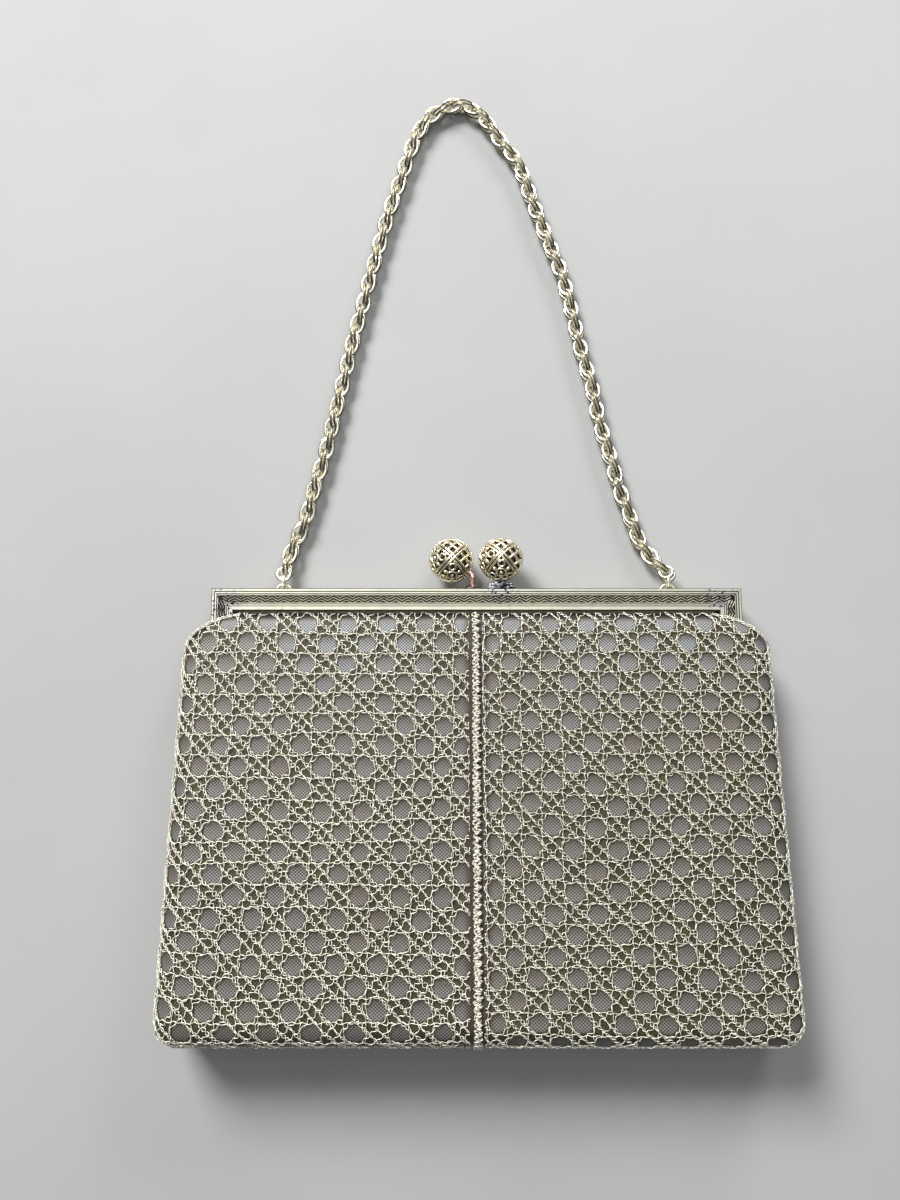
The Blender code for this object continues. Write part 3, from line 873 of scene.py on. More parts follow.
@dataclass(frozen=True)
class Pattern:
    """How the lace's repeat lies on one half of the bag, measured from the seam."""

    side: int
    across: float
    up: float
    repeat: float
    rise: float
    edge: float
    pull: float = 3.2
    fade: float = 4.5
    uneven: float = 0.42

    def seam_distance(self, u: np.ndarray) -> np.ndarray:
        """The real distance from the seam of a place u in the unpulled lace."""
        return u - self.pull * (1 - np.exp(-np.maximum(u, 0) / self.fade))

    def drift(self, u: np.ndarray, b: np.ndarray) -> tuple[np.ndarray, np.ndarray]:
        """The hand-made shift across and up of a place in the unpulled lace."""
        seed = 11 if self.side < 0 else 23
        return wander(u, b, seed, 46.0, self.uneven), wander(u, b, seed + 1, 42.0, self.uneven)

    def cell(self, a: np.ndarray, b: np.ndarray) -> tuple[np.ndarray, np.ndarray]:
        """The place in the repeat of a point on the bag.

        Args:
            a: places across.
            b: places up.

        Returns:
            The repeats across and up, whole numbers at the big holes.
        """
        table = np.linspace(0, 130, 1300)
        straight = np.interp(np.abs(a), self.seam_distance(table), table)
        u = straight
        for _ in range(2):
            shift_u, shift_b = self.drift(u, b)
            u = straight - shift_u
        return (u - self.across) / self.repeat, (b - shift_b - self.up) / self.rise


LEFT = Pattern(side=-1, across=13.4, up=41.3, repeat=12.4, rise=12.35, edge=2.5)
RIGHT = Pattern(side=1, across=13.35, up=47.7, repeat=12.4, rise=12.1, edge=1.5)


@dataclass
class LaceHalf:
    """One half of the gold lace, its hem included."""

    name: str
    pattern: Pattern
    front: bool
    step: float = 0.52
    sides: int = 3
    thread: float = 0.125
    cover: float = 0.45
    hole: float = 2.8
    into_hole: float = 0.2
    straight_twist: float = 3.1
    straight_swing: float = 0.2
    straight_below: float = 2.4
    plait_twist: float = 2.9
    plait_gap: float = 0.346
    strong_swing: float = 0.46
    weak_swing: float = 0.4
    hem_swing: float = 0.42
    corner_hem: float = 75.0
    seed: int = 100
    strands: Strands = field(init=False)

    def build(self, material: Material) -> Object:
        """Makes the lace.

        Args:
            material: the thread's material.

        Returns:
            The piece.
        """
        self.strands = Strands(self.sides)
        self.straight_threads()
        self.plaits()
        self.hem()
        return finish_piece(self.strands.build(self.name), self.name, material)

    def lay(
        self,
        p: np.ndarray,
        q: np.ndarray,
        offset: np.ndarray,
        lift: np.ndarray,
        lean: tuple[float, float],
        below: float = 0.05,
    ) -> None:
        """Lays a thread on the bag and cuts it at the lace's edges.

        Args:
            p: places across, in repeats.
            q: places up, in repeats.
            offset: the sideways shift at each place.
            lift: the shift outwards at each place.
            lean: the direction of the sideways shift.
            below: how far under the top edge the thread stops.
        """
        pat = self.pattern
        u = pat.across + p * pat.repeat
        b = pat.up + q * pat.rise
        self.seed += 1
        u = u + offset * lean[0] + wander(u, b, self.seed, 5.5, 0.13)
        b = b + offset * lean[1] + wander(b, u, self.seed + 999, 5.5, 0.13)
        u, b = self.clear_holes(u, b)
        shift_u, shift_b = pat.drift(u, b)
        u, b = u + shift_u, b + shift_b
        away = pat.seam_distance(u)
        inside = (away > pat.edge) & (away < FORM.core_half + FORM.quarter - 0.5)
        inside &= (b > FORM.low(away) + 0.5) & (b < FORM.high(away, self.front) - below)
        inside &= u > 0
        marks = np.flatnonzero(np.diff(np.concatenate([[0], inside.astype(int), [0]])))
        for start, end in zip(marks[::2], marks[1::2]):
            if end - start < 3:
                continue
            part = slice(start, end)
            a = away[part] * pat.side
            line = FORM.place(a, b[part], self.cover - lift[part], self.front)
            self.strands.add(line, FORM.normal(a, b[part], self.front), self.thread)

    def clear_holes(self, u: np.ndarray, b: np.ndarray) -> tuple[np.ndarray, np.ndarray]:
        """Pushes a thread out of the round holes, onto their rims.

        Args:
            u: places across, in millimetres of unpulled lace.
            b: places up, in millimetres.

        Returns:
            The places moved.
        """
        pat = self.pattern
        for shift in (0.0, 0.5):
            p, q = (u - pat.across) / pat.repeat + shift, (b - pat.up) / pat.rise + shift
            du, db = (p - np.round(p)) * pat.repeat, (q - np.round(q)) * pat.rise
            away = np.hypot(du, db)
            moved = np.where(away < self.hole, self.hole - (self.hole - away) * self.into_hole, away)
            grow = moved / np.maximum(away, 1e-6)
            u, b = u + du * (grow - 1), b + db * (grow - 1)
        return u, b

    def along(self, stretch: float = 1.0) -> np.ndarray:
        """Places along a thread that is this much longer than its shadow, in repeats."""
        return np.arange(-12.0, 9.0, self.step / self.pattern.repeat / stretch)

    def straight_threads(self) -> None:
        """The single two-ply threads across and up the lace."""
        repeat = self.pattern.repeat
        t = self.along()
        for k in range(-24, 20):
            line = np.full_like(t, k / 2 + 0.25)
            turn = TAU * t * repeat / self.straight_twist + k * 1.9
            wobble = self.straight_swing * np.sin(turn) + wander(t * 12.4, line * 12.4, 50 + k, 8.0, 0.16)
            lift = 0.16 * np.cos(turn)
            self.lay(t, line, wobble, lift, (0.0, 1.0), self.straight_below)
            self.lay(line, t, wobble, -lift, (1.0, 0.0))

    def plaits(self) -> None:
        """The diagonal plaits: two loopy threads one way, one thread the other way."""
        t = self.along(math.sqrt(2))
        for k, shift, slope in product(range(-22, 22), (-self.plait_gap, self.plait_gap), (1, -1)):
            strong = slope * self.pattern.side < 0
            line = slope * t + k + shift
            turn = TAU * t * self.pattern.repeat * math.sqrt(2) / self.plait_twist + 1.7 * k + shift * 9
            size = self.strong_swing if strong else self.weak_swing
            uneven = 1 + wander(t * 12.4, line * 12.4, 90 + k, 6.0, 0.4)
            for half in (0, math.pi) if strong else (0,):
                offset = size * uneven * np.sin(turn + half)
                lift = 0.2 * np.cos(turn + half)
                self.lay(t, line, offset, lift, (-slope * ROOT_HALF, ROOT_HALF))

    def border(self) -> tuple[np.ndarray, np.ndarray]:
        """The lace's outline from the seam's bottom round to the seam's top.

        Returns:
            The places across and up.
        """
        end = FORM.core_half + FORM.quarter - 0.45
        inner = np.linspace(self.pattern.edge, FORM.core_half, 120)
        turn = FORM.core_half + FORM.quarter * np.sin(np.linspace(0, 1.37, 14)[1:])
        a = np.minimum(np.concatenate([inner, turn]), end)
        low = FORM.low(a) + 0.45
        top_low = float(low[-1])
        top_high = float(FORM.high(np.array([end]), self.front)[0]) - 0.4
        side_b = np.linspace(top_low, top_high, 130)[1:-1]
        back = a[::-1]
        back = back[back > self.corner_hem]
        return (
            np.concatenate([a, np.full_like(side_b, end), back]),
            np.concatenate([low, side_b, FORM.high(back, self.front) - 0.35]),
        )

    def hem(self) -> None:
        """A plaited edge of three threads."""
        a, b = self.border()
        length = np.concatenate([[0], np.cumsum(np.hypot(np.diff(a), np.diff(b)))])
        at = np.arange(0, length[-1], self.step * 0.75)
        a = np.interp(at, length, a)
        b = np.interp(at, length, b)
        along = unit(np.stack([np.gradient(a), np.gradient(b)], -1))
        for phase in (0.0, TAU / 3, 2 * TAU / 3):
            turn = TAU * at / self.straight_twist + phase
            wave = self.hem_swing * np.sin(turn)
            place_a = (a - along[:, 1] * wave) * self.pattern.side
            place_b = b + along[:, 0] * wave
            line = FORM.place(place_a, place_b, self.cover - 0.22 * np.cos(turn), self.front)
            normal = FORM.normal(place_a, place_b, self.front)
            self.strands.add(line, normal, self.thread)


@dataclass
class SeamCord:
    """The looped rib down the middle of the lace: seven threads of three kinds."""

    name: str
    front: bool
    threads: int = 7
    waves: Triple = (1.9, 2.3, 2.6)
    reaches: Triple = (1.0, 0.75, 0.5)
    shift: float = -0.15
    thread: float = 0.17

    def build(self, material: Material) -> Object:
        """Makes the rib.

        Args:
            material: the thread's material.

        Returns:
            The piece.
        """
        strands = Strands(5)
        start = float(FORM.low(np.array([0.0]))[0]) + 0.4
        end = float(FORM.high(np.array([0.0]), self.front)[0]) - 0.3
        b = np.arange(start, end, 0.28)
        crown = 0.3 if self.front else -0.05
        for k in range(self.threads):
            turn = TAU * b / self.waves[k % 3] + k * 2.3 + wander(b, 0.0, 40 + k, 12.0, 0.5)
            centre = (-0.3, 0.0, 0.3)[(k * 2) % 3] + self.shift
            a = centre + self.reaches[k % 3] * np.sin(turn) + wander(b, 0.0, 60 + k, 9.0, 0.15)
            lift = crown + 0.32 * np.cos(turn * (1 if k % 2 else 2)) - 0.12 * np.abs(a)
            place = FORM.place(a, b + 0.3 * np.cos(turn), 0.45 - lift, self.front)
            strands.add(place, FORM.normal(a, b, self.front), self.thread)
        return finish_piece(strands.build(self.name), self.name, material)


@dataclass
class Skin:
    """One layer of cloth that follows the bag's form, as a closed sheet."""

    name: str
    front: bool
    start: float
    thickness: float = 0.6
    pitch: float = 1.15

    def build(self, material: Material) -> Object:
        """Makes the sheet.

        Args:
            material: the cloth's material.

        Returns:
            The piece.
        """
        end = FORM.core_half + FORM.quarter
        columns = np.linspace(-end, end, 2 * round(end / self.pitch) + 1)
        low = FORM.low(columns)
        high = FORM.high(columns, self.front)
        share = np.linspace(0, 1, round(FORM.length / self.pitch))
        a = np.broadcast_to(columns[None], (len(share), len(columns)))
        b = low[None] + (high - low)[None] * share[:, None]
        p, q = (np.where(a < 0, left, right) for left, right in zip(LEFT.cell(a, b), RIGHT.cell(a, b)))
        values = {"lace_at": np.stack([p, q, np.abs(a)], -1)}
        outer = FORM.place(a, b, self.start, self.front)
        inner = FORM.place(a, b, self.start + self.thickness, self.front)
        return finish_piece(slab(self.name, outer, inner, values), self.name, material)


@dataclass
class Lining:
    """The satin inside of the front or the back."""

    name: str
    front: bool
    top: float
    narrow: float = 75.2
    front_level: float = 12.8
    inset: float = 3.35
    thickness: float = 0.5
    dip: float = 2.4
    dip_start: float = 45.5
    narrow_start: float = 4.0

    def build(self, material: Material) -> Object:
        """Makes the lining.

        Args:
            material: the satin.

        Returns:
            The piece.
        """
        b = np.linspace(FORM.core_low, self.top, 90)
        wide = FORM.core_half - 0.6
        near = np.clip((b - self.narrow_start) / 9.0, 0, 1)
        half = wide + (self.narrow - wide) * near * near * (3 - 2 * near)
        share = np.linspace(-1, 1, 121)
        x = share[None] * half[:, None]
        y = np.broadcast_to(b[:, None], x.shape)
        crease = wander(x * 2.0, y * 0.5, 71, 26.0, 0.12)
        grids = []
        for under in (0.0, self.thickness):
            z = np.full_like(x, self.inset + under)
            if self.front:
                dip = self.dip * np.clip((y - self.dip_start) / 4.0, 0, 1)
                z = FORM.depth(y) - z
                z = np.where(y > 20, np.minimum(z, self.front_level - under) - dip, z)
            grids.append(np.stack([x, y, z + crease * (1 - near[:, None] * 0.6)], -1))
        return finish_piece(slab(self.name, grids[0], grids[1]), self.name, material)


@dataclass
class Gusset:
    """The cloth between the front and the back round the sides and the bottom."""

    name: str = "side_and_bottom_gusset"
    thickness: float = 0.6
    bulge: float = 0.9

    def build(self, material: Material) -> Object:
        """Makes the band.

        Args:
            material: the cloth.

        Returns:
            The piece.
        """
        stations = []
        for y in np.linspace(FORM.hinge_y, FORM.core_low, 60)[:-1]:
            stations.append((FORM.core_half, y, 1.0, 0.0))
        for angle in np.linspace(0, math.pi / 2, 12):
            stations.append((FORM.core_half, FORM.core_low, math.cos(angle), -math.sin(angle)))
        for x in np.linspace(FORM.core_half, -FORM.core_half, 110)[1:-1]:
            stations.append((x, FORM.core_low, 0.0, -1.0))
        for x, y, dx, dy in reversed(stations[:71]):
            stations.append((-x, y, -dx, dy))
        core = np.array(stations)
        across = np.linspace(0, 1, 9)
        outer, inner = [], []
        for grid, inset in ((outer, 0.0), (inner, self.thickness)):
            for i, (x, y, dx, dy) in enumerate(core):
                rise = self.bulge + 0.25 * math.sin(i * 0.31) + 0.15 * math.sin(i * 0.83)
                reach = FORM.roll - self.bulge - inset + rise * np.sin(math.pi * across)
                place_y = y + dy * reach
                low, high = FORM.roll - 0.5, FORM.depth(y) - FORM.roll + 0.5
                z = low + (high - low) * across
                place_x = (x + dx * reach) * FORM.taper(y)
                grid.append(np.stack([place_x, place_y, z], -1))
        return finish_piece(slab(self.name, np.array(outer), np.array(inner)), self.name, material)


@dataclass
class FoldedGusset:
    """The cloth at one side between the frame's legs, folded in when the frame is closed."""

    name: str
    side: int

    def build(self, material: Material) -> Object:
        """Makes the fold.

        Args:
            material: the cloth.

        Returns:
            The piece.
        """
        y = np.linspace(FORM.hinge_y - 1.0, 45.0, 30)
        across = np.linspace(0, 1, 15)
        grids = []
        for shift in (-0.22, 0.22):
            grid = []
            for level in y:
                corner = 73.0 + 25.9 * ((51.8 - level) / FORM.corner_drop) ** 0.588
                turned = min((corner - FORM.core_half) / FORM.roll, 1.57)
                full = FORM.core_half + FORM.roll * math.sin(turned)
                rim = (full - 1.6) * FORM.taper(level)
                low, high = FORM.roll - 0.3, FORM.depth(level) - FORM.roll + 0.3
                deep = 2.0 + 6.0 * (level - FORM.hinge_y + 1.0) / 34.0
                x = np.maximum(rim - deep * (1 - np.abs(2 * across - 1)) ** 0.8, 83.5) + shift
                z = low + (high - low) * across
                grid.append(np.stack([x * self.side, np.full_like(x, level), z], -1))
            grids.append(np.array(grid))
        return finish_piece(slab(self.name, grids[1], grids[0]), self.name, material)


# ---------------------------------------------------------------- the frame


BAR_TOP = 58.925
BALL_Y = BAR_TOP + 9.9
# The stamped face's section: how far in from the outer edge, and how deep.
RELIEF = (
    (0.0, 0.3), (0.3, 0.0), (0.85, 0.0), (0.9, 0.3), (1.1, 0.3), (1.15, 0.03), (1.6, 0.03),
    (1.65, 0.3), (1.9, 0.3), (1.95, 0.0), (2.15, 0.0), (2.25, 0.34), (4.5, 0.34), (4.6, 0.0),
    (4.8, 0.0), (4.85, 0.3), (5.05, 0.3), (5.1, 0.03), (5.45, 0.03), (5.5, 0.28), (5.65, 0.28),
    (5.7, 0.03), (6.7, 0.03), (7.0, 0.3),
)
# The rest of the section: the channel's inside and its plain back.
CHANNEL = ((7.0, 0.8), (0.8, 0.8), (0.8, 5.0), (7.0, 5.0), (7.0, 5.8), (0.3, 5.8), (0.0, 5.5))


@dataclass(frozen=True)
class ZigzagBand:
    """The stamped band of zigzag strokes, measured inwards from the frame's outer edge."""

    middle: float = 3.37
    spacing: float = 0.86
    swing: float = 0.5
    half_wave: float = 1.95
    leg_strokes: int = 16
    stroke: float = 0.16
    depth: float = 0.30

    def across(self, shift: float, count: int) -> np.ndarray:
        """How far in each corner of a zigzag of count strokes lies."""
        return self.middle + shift + self.swing * np.where(np.arange(count + 1) % 2, 1, -1)


@dataclass
class FrameHalf:
    """One half of the frame: a channel bar with a stamped face, two legs and two hinge ears."""

    name: str
    low: float
    high: float
    facing: int
    ear_start: float
    half_width: float = 83.0
    leg_end: float = 21.625
    hinge: tuple[float, float] = (17.925, 7.95)
    ear_radius: float = 3.4
    ear_width: float = 3.0
    mitre: float = 0.06
    band: ZigzagBand = ZigzagBand()

    def level(self, depth: float) -> float:
        """The height of a place this far behind the stamped face."""
        return self.high - depth if self.facing > 0 else self.low + depth

    def run(self, points: list, way: Triple, planes: Sequence[tuple]) -> Object:
        """Extrudes the channel's section and cuts its mitres.

        Args:
            points: the section's corners.
            way: the extrusion, in millimetres.
            planes: a point, a normal and whether the front of the plane goes, for each cut.

        Returns:
            The run.
        """
        depths = [(w if w < 0.5 else 0.0, 0, 0) for _, w in RELIEF + CHANNEL]
        obj = mesh_object(self.name, np.array(points), [list(range(len(points)))], {"relief": depths})
        with editing(obj):
            bpy.ops.mesh.extrude_region_move(TRANSFORM_OT_translate={"value": metres(way)})
            for place, normal, outer in planes:
                bpy.ops.mesh.select_all(action="SELECT")
                bpy.ops.mesh.bisect(
                    plane_co=metres(place),
                    plane_no=normal,
                    use_fill=True,
                    clear_outer=outer,
                    clear_inner=not outer,
                )
        outward(obj).data.shade_flat()
        return obj

    def bar(self) -> Object:
        """The top bar, mitred at both ends.

        Returns:
            The bar.
        """
        half = self.half_width
        section = [(-half, BAR_TOP - n, self.level(w)) for n, w in RELIEF + CHANNEL]
        cuts = [((s * (half - self.mitre), BAR_TOP, 0.0), (-s, 1, 0), False) for s in (-1, 1)]
        return self.run(section, (2 * half, 0, 0), cuts)

    def leg(self, side: int) -> Object:
        """One leg, mitred at its top.

        Args:
            side: -1 for the left one.

        Returns:
            The leg.
        """
        half = self.half_width
        section = [(side * (half - n), self.leg_end, self.level(w)) for n, w in RELIEF + CHANNEL]
        cut = ((side * half, BAR_TOP - self.mitre / 2, 0.0), (-side, 1, 0), True)
        return self.run(section, (0, BAR_TOP - self.leg_end, 0), [cut])

    def ear(self, side: int) -> Object:
        """A hinge ear: a round end on a lug that goes up into the leg.

        Args:
            side: -1 for the left one.

        Returns:
            The ear.
        """
        y, z = self.hinge
        lift, radius = self.facing, self.ear_radius
        turn = np.linspace(0, math.pi, 17)
        outline = [(y + radius * math.cos(t), z - lift * radius * math.sin(t)) for t in turn]
        outline += [(y - radius, z + lift * 2.3), (y - 0.7, z + lift * 5.9), (y + 6.0, z + lift * 5.9)]
        outline += [(y + 6.0, z + lift * 0.2)]
        ring = [(self.ear_start * side, a, b) for a, b in outline]
        obj = mesh_object("ear", np.array(ring), [list(range(len(ring)))])
        with editing(obj):
            step = metres((side * self.ear_width, 0, 0))
            bpy.ops.mesh.extrude_region_move(TRANSFORM_OT_translate={"value": step})
        outward(obj).data.shade_flat()
        return obj

    def zigzag(self) -> Object:
        """The raised zigzag lines in the band of the bar and the legs.

        Returns:
            The lines as one mesh.
        """
        band = self.band
        strands = Strands(4)
        height = self.level(band.depth)
        normal = np.array([0, 0, float(self.facing)])
        half = self.half_width - 3.4
        count = 2 * round(half / band.half_wave)
        x = np.linspace(-half, half, count + 1)
        y = np.linspace(self.leg_end + 0.4, BAR_TOP - 3.9, band.leg_strokes + 1)
        for shift in (-band.spacing, 0.0, band.spacing):
            line = np.stack([x, BAR_TOP - band.across(shift, count), np.full_like(x, height)], -1)
            strands.add(line, normal, band.stroke)
            inwards = band.across(shift, band.leg_strokes)
            for side in (-1, 1):
                line = np.stack([side * (self.half_width - inwards), y, np.full_like(y, height)], -1)
                strands.add(line, normal, band.stroke)
        return strands.build("zigzag")

    def build(self, material: Material) -> Object:
        """Makes the frame half.

        Args:
            material: its finish.

        Returns:
            The piece.
        """
        obj = joined([self.bar(), self.leg(-1), self.leg(1), self.ear(-1), self.ear(1), self.zigzag()])
        select_only(obj)
        bpy.ops.object.shade_smooth_by_angle(angle=math.radians(28))
        return finish_piece(obj, self.name, material)


# ---------------------------------------------------------------- the clasp


@dataclass
class ClaspBall:
    """A hollow pierced ball: double cords round it, lattices and scrolls between them."""

    name: str
    centre: Triple
    turn: Triple
    radius: float = 7.15
    cord_gap: float = 0.53
    cord: float = 0.43
    lattice_at: tuple[float, float] = (2.75, 4.95)
    lattice_bar: float = 0.5

    def dress(self, points: np.ndarray) -> tuple[np.ndarray, np.ndarray]:
        """Turns points of the ball and puts them in place.

        Args:
            points: the points about the origin.

        Returns:
            The points and their outward directions.
        """
        x, y, z = self.turn
        spin = np.eye(3)
        for axis, angle in ((2, z), (1, y), (0, x)):
            c, s = math.cos(angle), math.sin(angle)
            one = np.eye(3)
            i, j = (axis + 1) % 3, (axis + 2) % 3
            one[i, i], one[i, j], one[j, i], one[j, j] = c, -s, s, c
            spin = one @ spin
        turned = points @ spin.T
        return turned + np.array(self.centre), unit(turned)

    def arc(self, strands: Strands, axis: int, off: float, signs: tuple, thick: float, whole: bool) -> None:
        """A bar that follows a small circle of the ball.

        Args:
            strands: the strands it is added to.
            axis: the circle's axis.
            off: the circle's distance from the ball's middle.
            signs: the octant's signs, for a bar inside an octant.
            thick: the bar's radius.
            whole: whether the bar goes all the way round.
        """
        shell = self.radius - thick - (0.0 if whole else 0.3)
        ring = math.sqrt(shell * shell - off * off)
        if whole:
            t = np.linspace(0, TAU, 72, endpoint=False)
        else:
            edge = math.asin(min(0.7 / ring, 0.9))
            t = np.linspace(edge, math.pi / 2 - edge, 16)
        points = np.zeros((len(t), 3))
        i, j = (axis + 1) % 3, (axis + 2) % 3
        points[:, axis] = off * (1 if whole else signs[axis])
        points[:, i] = ring * np.cos(t) * (1 if whole else signs[i])
        points[:, j] = ring * np.sin(t) * (1 if whole else signs[j])
        strands.add(*self.dress(points), thick, closed=whole)

    def loop(self, strands: Strands, towards: np.ndarray, size: float, thick: float) -> None:
        """A small ring on the ball.

        Args:
            strands: the strands it is added to.
            towards: the direction of its middle.
            size: its radius.
            thick: its wire's radius.
        """
        towards = unit(towards)
        first = unit(np.cross(towards, (0.3, 0.7, 0.2)))
        second = np.cross(towards, first)
        t = np.linspace(0, TAU, 20, endpoint=False)[:, None]
        points = towards * (self.radius - thick) + size * (np.cos(t) * first + np.sin(t) * second)
        points = unit(points) * (self.radius - thick)
        strands.add(*self.dress(points), thick, closed=True)

    def grain(self, towards: np.ndarray, size: float) -> Object:
        """A soldered grain.

        Args:
            towards: its direction.
            size: its radius.

        Returns:
            The grain.
        """
        place, _ = self.dress(unit(towards)[None] * (self.radius - size * 0.7))
        bpy.ops.mesh.primitive_ico_sphere_add(subdivisions=2, radius=size * MM, location=metres(place[0]))
        bpy.ops.object.transform_apply(location=True)
        return bpy.context.object

    def lattice(self, strands: Strands, signs: tuple) -> None:
        """The square lattice in one octant.

        Args:
            strands: the strands it is added to.
            signs: the octant's signs.
        """
        for axis, off in product((0, 1), self.lattice_at):
            self.arc(strands, axis, off, signs, self.lattice_bar, False)

    def scrolls(self, strands: Strands, signs: tuple) -> list[Object]:
        """The rings and grains in one octant.

        Args:
            strands: the strands that the rings are added to.
            signs: the octant's signs.

        Returns:
            The grains.
        """
        middle = np.array(signs, float)
        self.loop(strands, middle, 1.55, 0.38)
        grains = [self.grain(middle, 0.75)]
        for axis in range(3):
            corner = middle.copy()
            corner[axis] *= 2.7
            self.loop(strands, corner, 1.05, 0.34)
            between = middle.copy()
            between[axis] *= 0.36
            grains.append(self.grain(between, 0.7))
        return grains

    def build(self, material: Material) -> Object:
        """Makes the pierced shell.

        Args:
            material: its finish.

        Returns:
            The piece.
        """
        strands = Strands(6)
        grains = []
        for axis, off in product(range(3), (-self.cord_gap, self.cord_gap)):
            self.arc(strands, axis, off, (1, 1, 1), self.cord, True)
        for signs in product((-1, 1), repeat=3):
            if signs[0] > 0:
                self.lattice(strands, signs)
            else:
                grains += self.scrolls(strands, signs)
        shell = joined([strands.build(self.name), *grains])
        select_only(shell)
        bpy.ops.object.shade_smooth()
        return finish_piece(shell, self.name, material)

    def inside(self, material: Material) -> Object:
        """A dark matt sphere: painted shade that stands for the dark hollow showing through the piercing.

        Args:
            material: its finish.

        Returns:
            The piece.
        """
        select_none()
        bpy.ops.mesh.primitive_uv_sphere_add(
            segments=32, ring_count=20, radius=(self.radius - 1.3) * MM, location=metres(self.centre)
        )
        obj = bpy.context.object
        bpy.ops.object.shade_smooth()
        return finish_piece(obj, f"{self.name}_inside", material)


def block(centre: Sequence[float], size: Sequence[float], round_by: float) -> Object:
    """A box with rounded edges.

    Args:
        centre: its middle, in millimetres.
        size: its size, in millimetres.
        round_by: the bevel, in millimetres.

    Returns:
        The box.
    """
    select_none()
    bpy.ops.mesh.primitive_cube_add(size=1, location=metres(centre))
    obj = bpy.context.object
    obj.scale = metres(size)
    bpy.ops.object.transform_apply(location=True, scale=True)
    with editing(obj):
        bpy.ops.mesh.bevel(offset=round_by * MM, segments=3, affect="EDGES")
    bpy.ops.object.shade_smooth()
    return obj


@dataclass
class ClaspFeet:
    """The soldered feet of the two balls and what carries each ball."""

    solder_x: float = 7.6
    solder_y: float = 59.7
    solder_half: float = 3.5
    solder_rise: float = 1.7
    lumps: int = 46

    def front_foot(self, material: Material) -> Object:
        """The worn plate under the front ball.

        Args:
            material: its finish.

        Returns:
            The piece.
        """
        plate = block((7.9, 59.45, 11.0), (8.4, 0.85, 4.4), 0.25)
        solder = block((self.solder_x, 58.85, 13.6), (7.6, 1.2, 0.5), 0.22)
        lumps = [plate, solder, block((self.solder_x, 60.1, 11.8), (6.0, 1.5, 3.0), 0.5)]
        random = np.random.default_rng(5)
        for _ in range(self.lumps):
            x = self.solder_x + self.solder_half * random.uniform(-1, 1)
            reach = self.solder_rise * (1 - 0.6 * abs(x - self.solder_x) / self.solder_half)
            y = self.solder_y + random.uniform(-1, 1) * reach
            size = random.uniform(0.3, 0.75)
            bpy.ops.mesh.primitive_ico_sphere_add(
                subdivisions=3,
                radius=size * MM,
                location=metres((x, y, 13.2 - 0.6 * abs(y - 58.9))),
                scale=(1.25, 0.75, 0.8),
            )
            bpy.ops.object.shade_smooth()
            lumps.append(bpy.context.object)
        return finish_piece(joined(lumps), "front_clasp_foot_worn", material)

    def front_stem(self, material: Material) -> Object:
        """The flared cone under the front ball.

        Args:
            material: its finish.

        Returns:
            The piece.
        """
        select_none()
        bpy.ops.mesh.primitive_cone_add(
            vertices=28,
            radius1=2.6 * MM,
            radius2=1.3 * MM,
            depth=2.6 * MM,
            location=metres((7.9, 60.9, 9.95)),
            rotation=(-math.pi / 2, 0, 0),
        )
        obj = bpy.context.object
        with editing(obj):
            bpy.ops.mesh.bevel(offset=0.3 * MM, segments=2, affect="EDGES")
        bpy.ops.object.shade_smooth_by_angle(angle=math.radians(40))
        return finish_piece(obj, "front_clasp_stem_cone", material)

    def rear_foot(self, material: Material) -> Object:
        """The plate under the rear ball's wire.

        Args:
            material: its finish.

        Returns:
            The piece.
        """
        plate = block((-2.4, 59.45, 5.0), (6.6, 0.8, 4.2), 0.25)
        bead = block((-1.6, 60.1, 6.2), (3.2, 1.3, 2.8), 0.55)
        return finish_piece(joined([plate, bead]), "rear_clasp_foot_worn", material)

    def rear_stem(self, material: Material) -> Object:
        """The bent wire of the rear ball.

        Args:
            material: its finish.

        Returns:
            The piece.
        """
        knots = np.array([
            (-1.6, 59.7, 6.0), (-0.7, 60.6, 6.9), (-1.3, 61.7, 7.6), (-0.9, 62.9, 8.0), (-1.2, 63.9, 8.05),
            (-2.4, 65.4, 8.05),
        ])
        t = np.linspace(0, len(knots) - 1, 30)
        line = np.stack([np.interp(t, np.arange(len(knots)), knots[:, i]) for i in range(3)], -1)
        for _ in range(6):
            line[1:-1] = (line[:-2] + 2 * line[1:-1] + line[2:]) / 4
        strands = Strands(12)
        thick = 0.72 + 0.42 * np.exp(-(((line[:, 1] - 63.3) / 0.9) ** 2)) + 0.25 * (line[:, 1] < 61.0)
        strands.add(line, (0.2, 0.1, 1.0), thick)
        return finish_piece(strands.build("rear_clasp_wire"), "rear_clasp_wire", material)


# ---------------------------------------------------------------- the chain


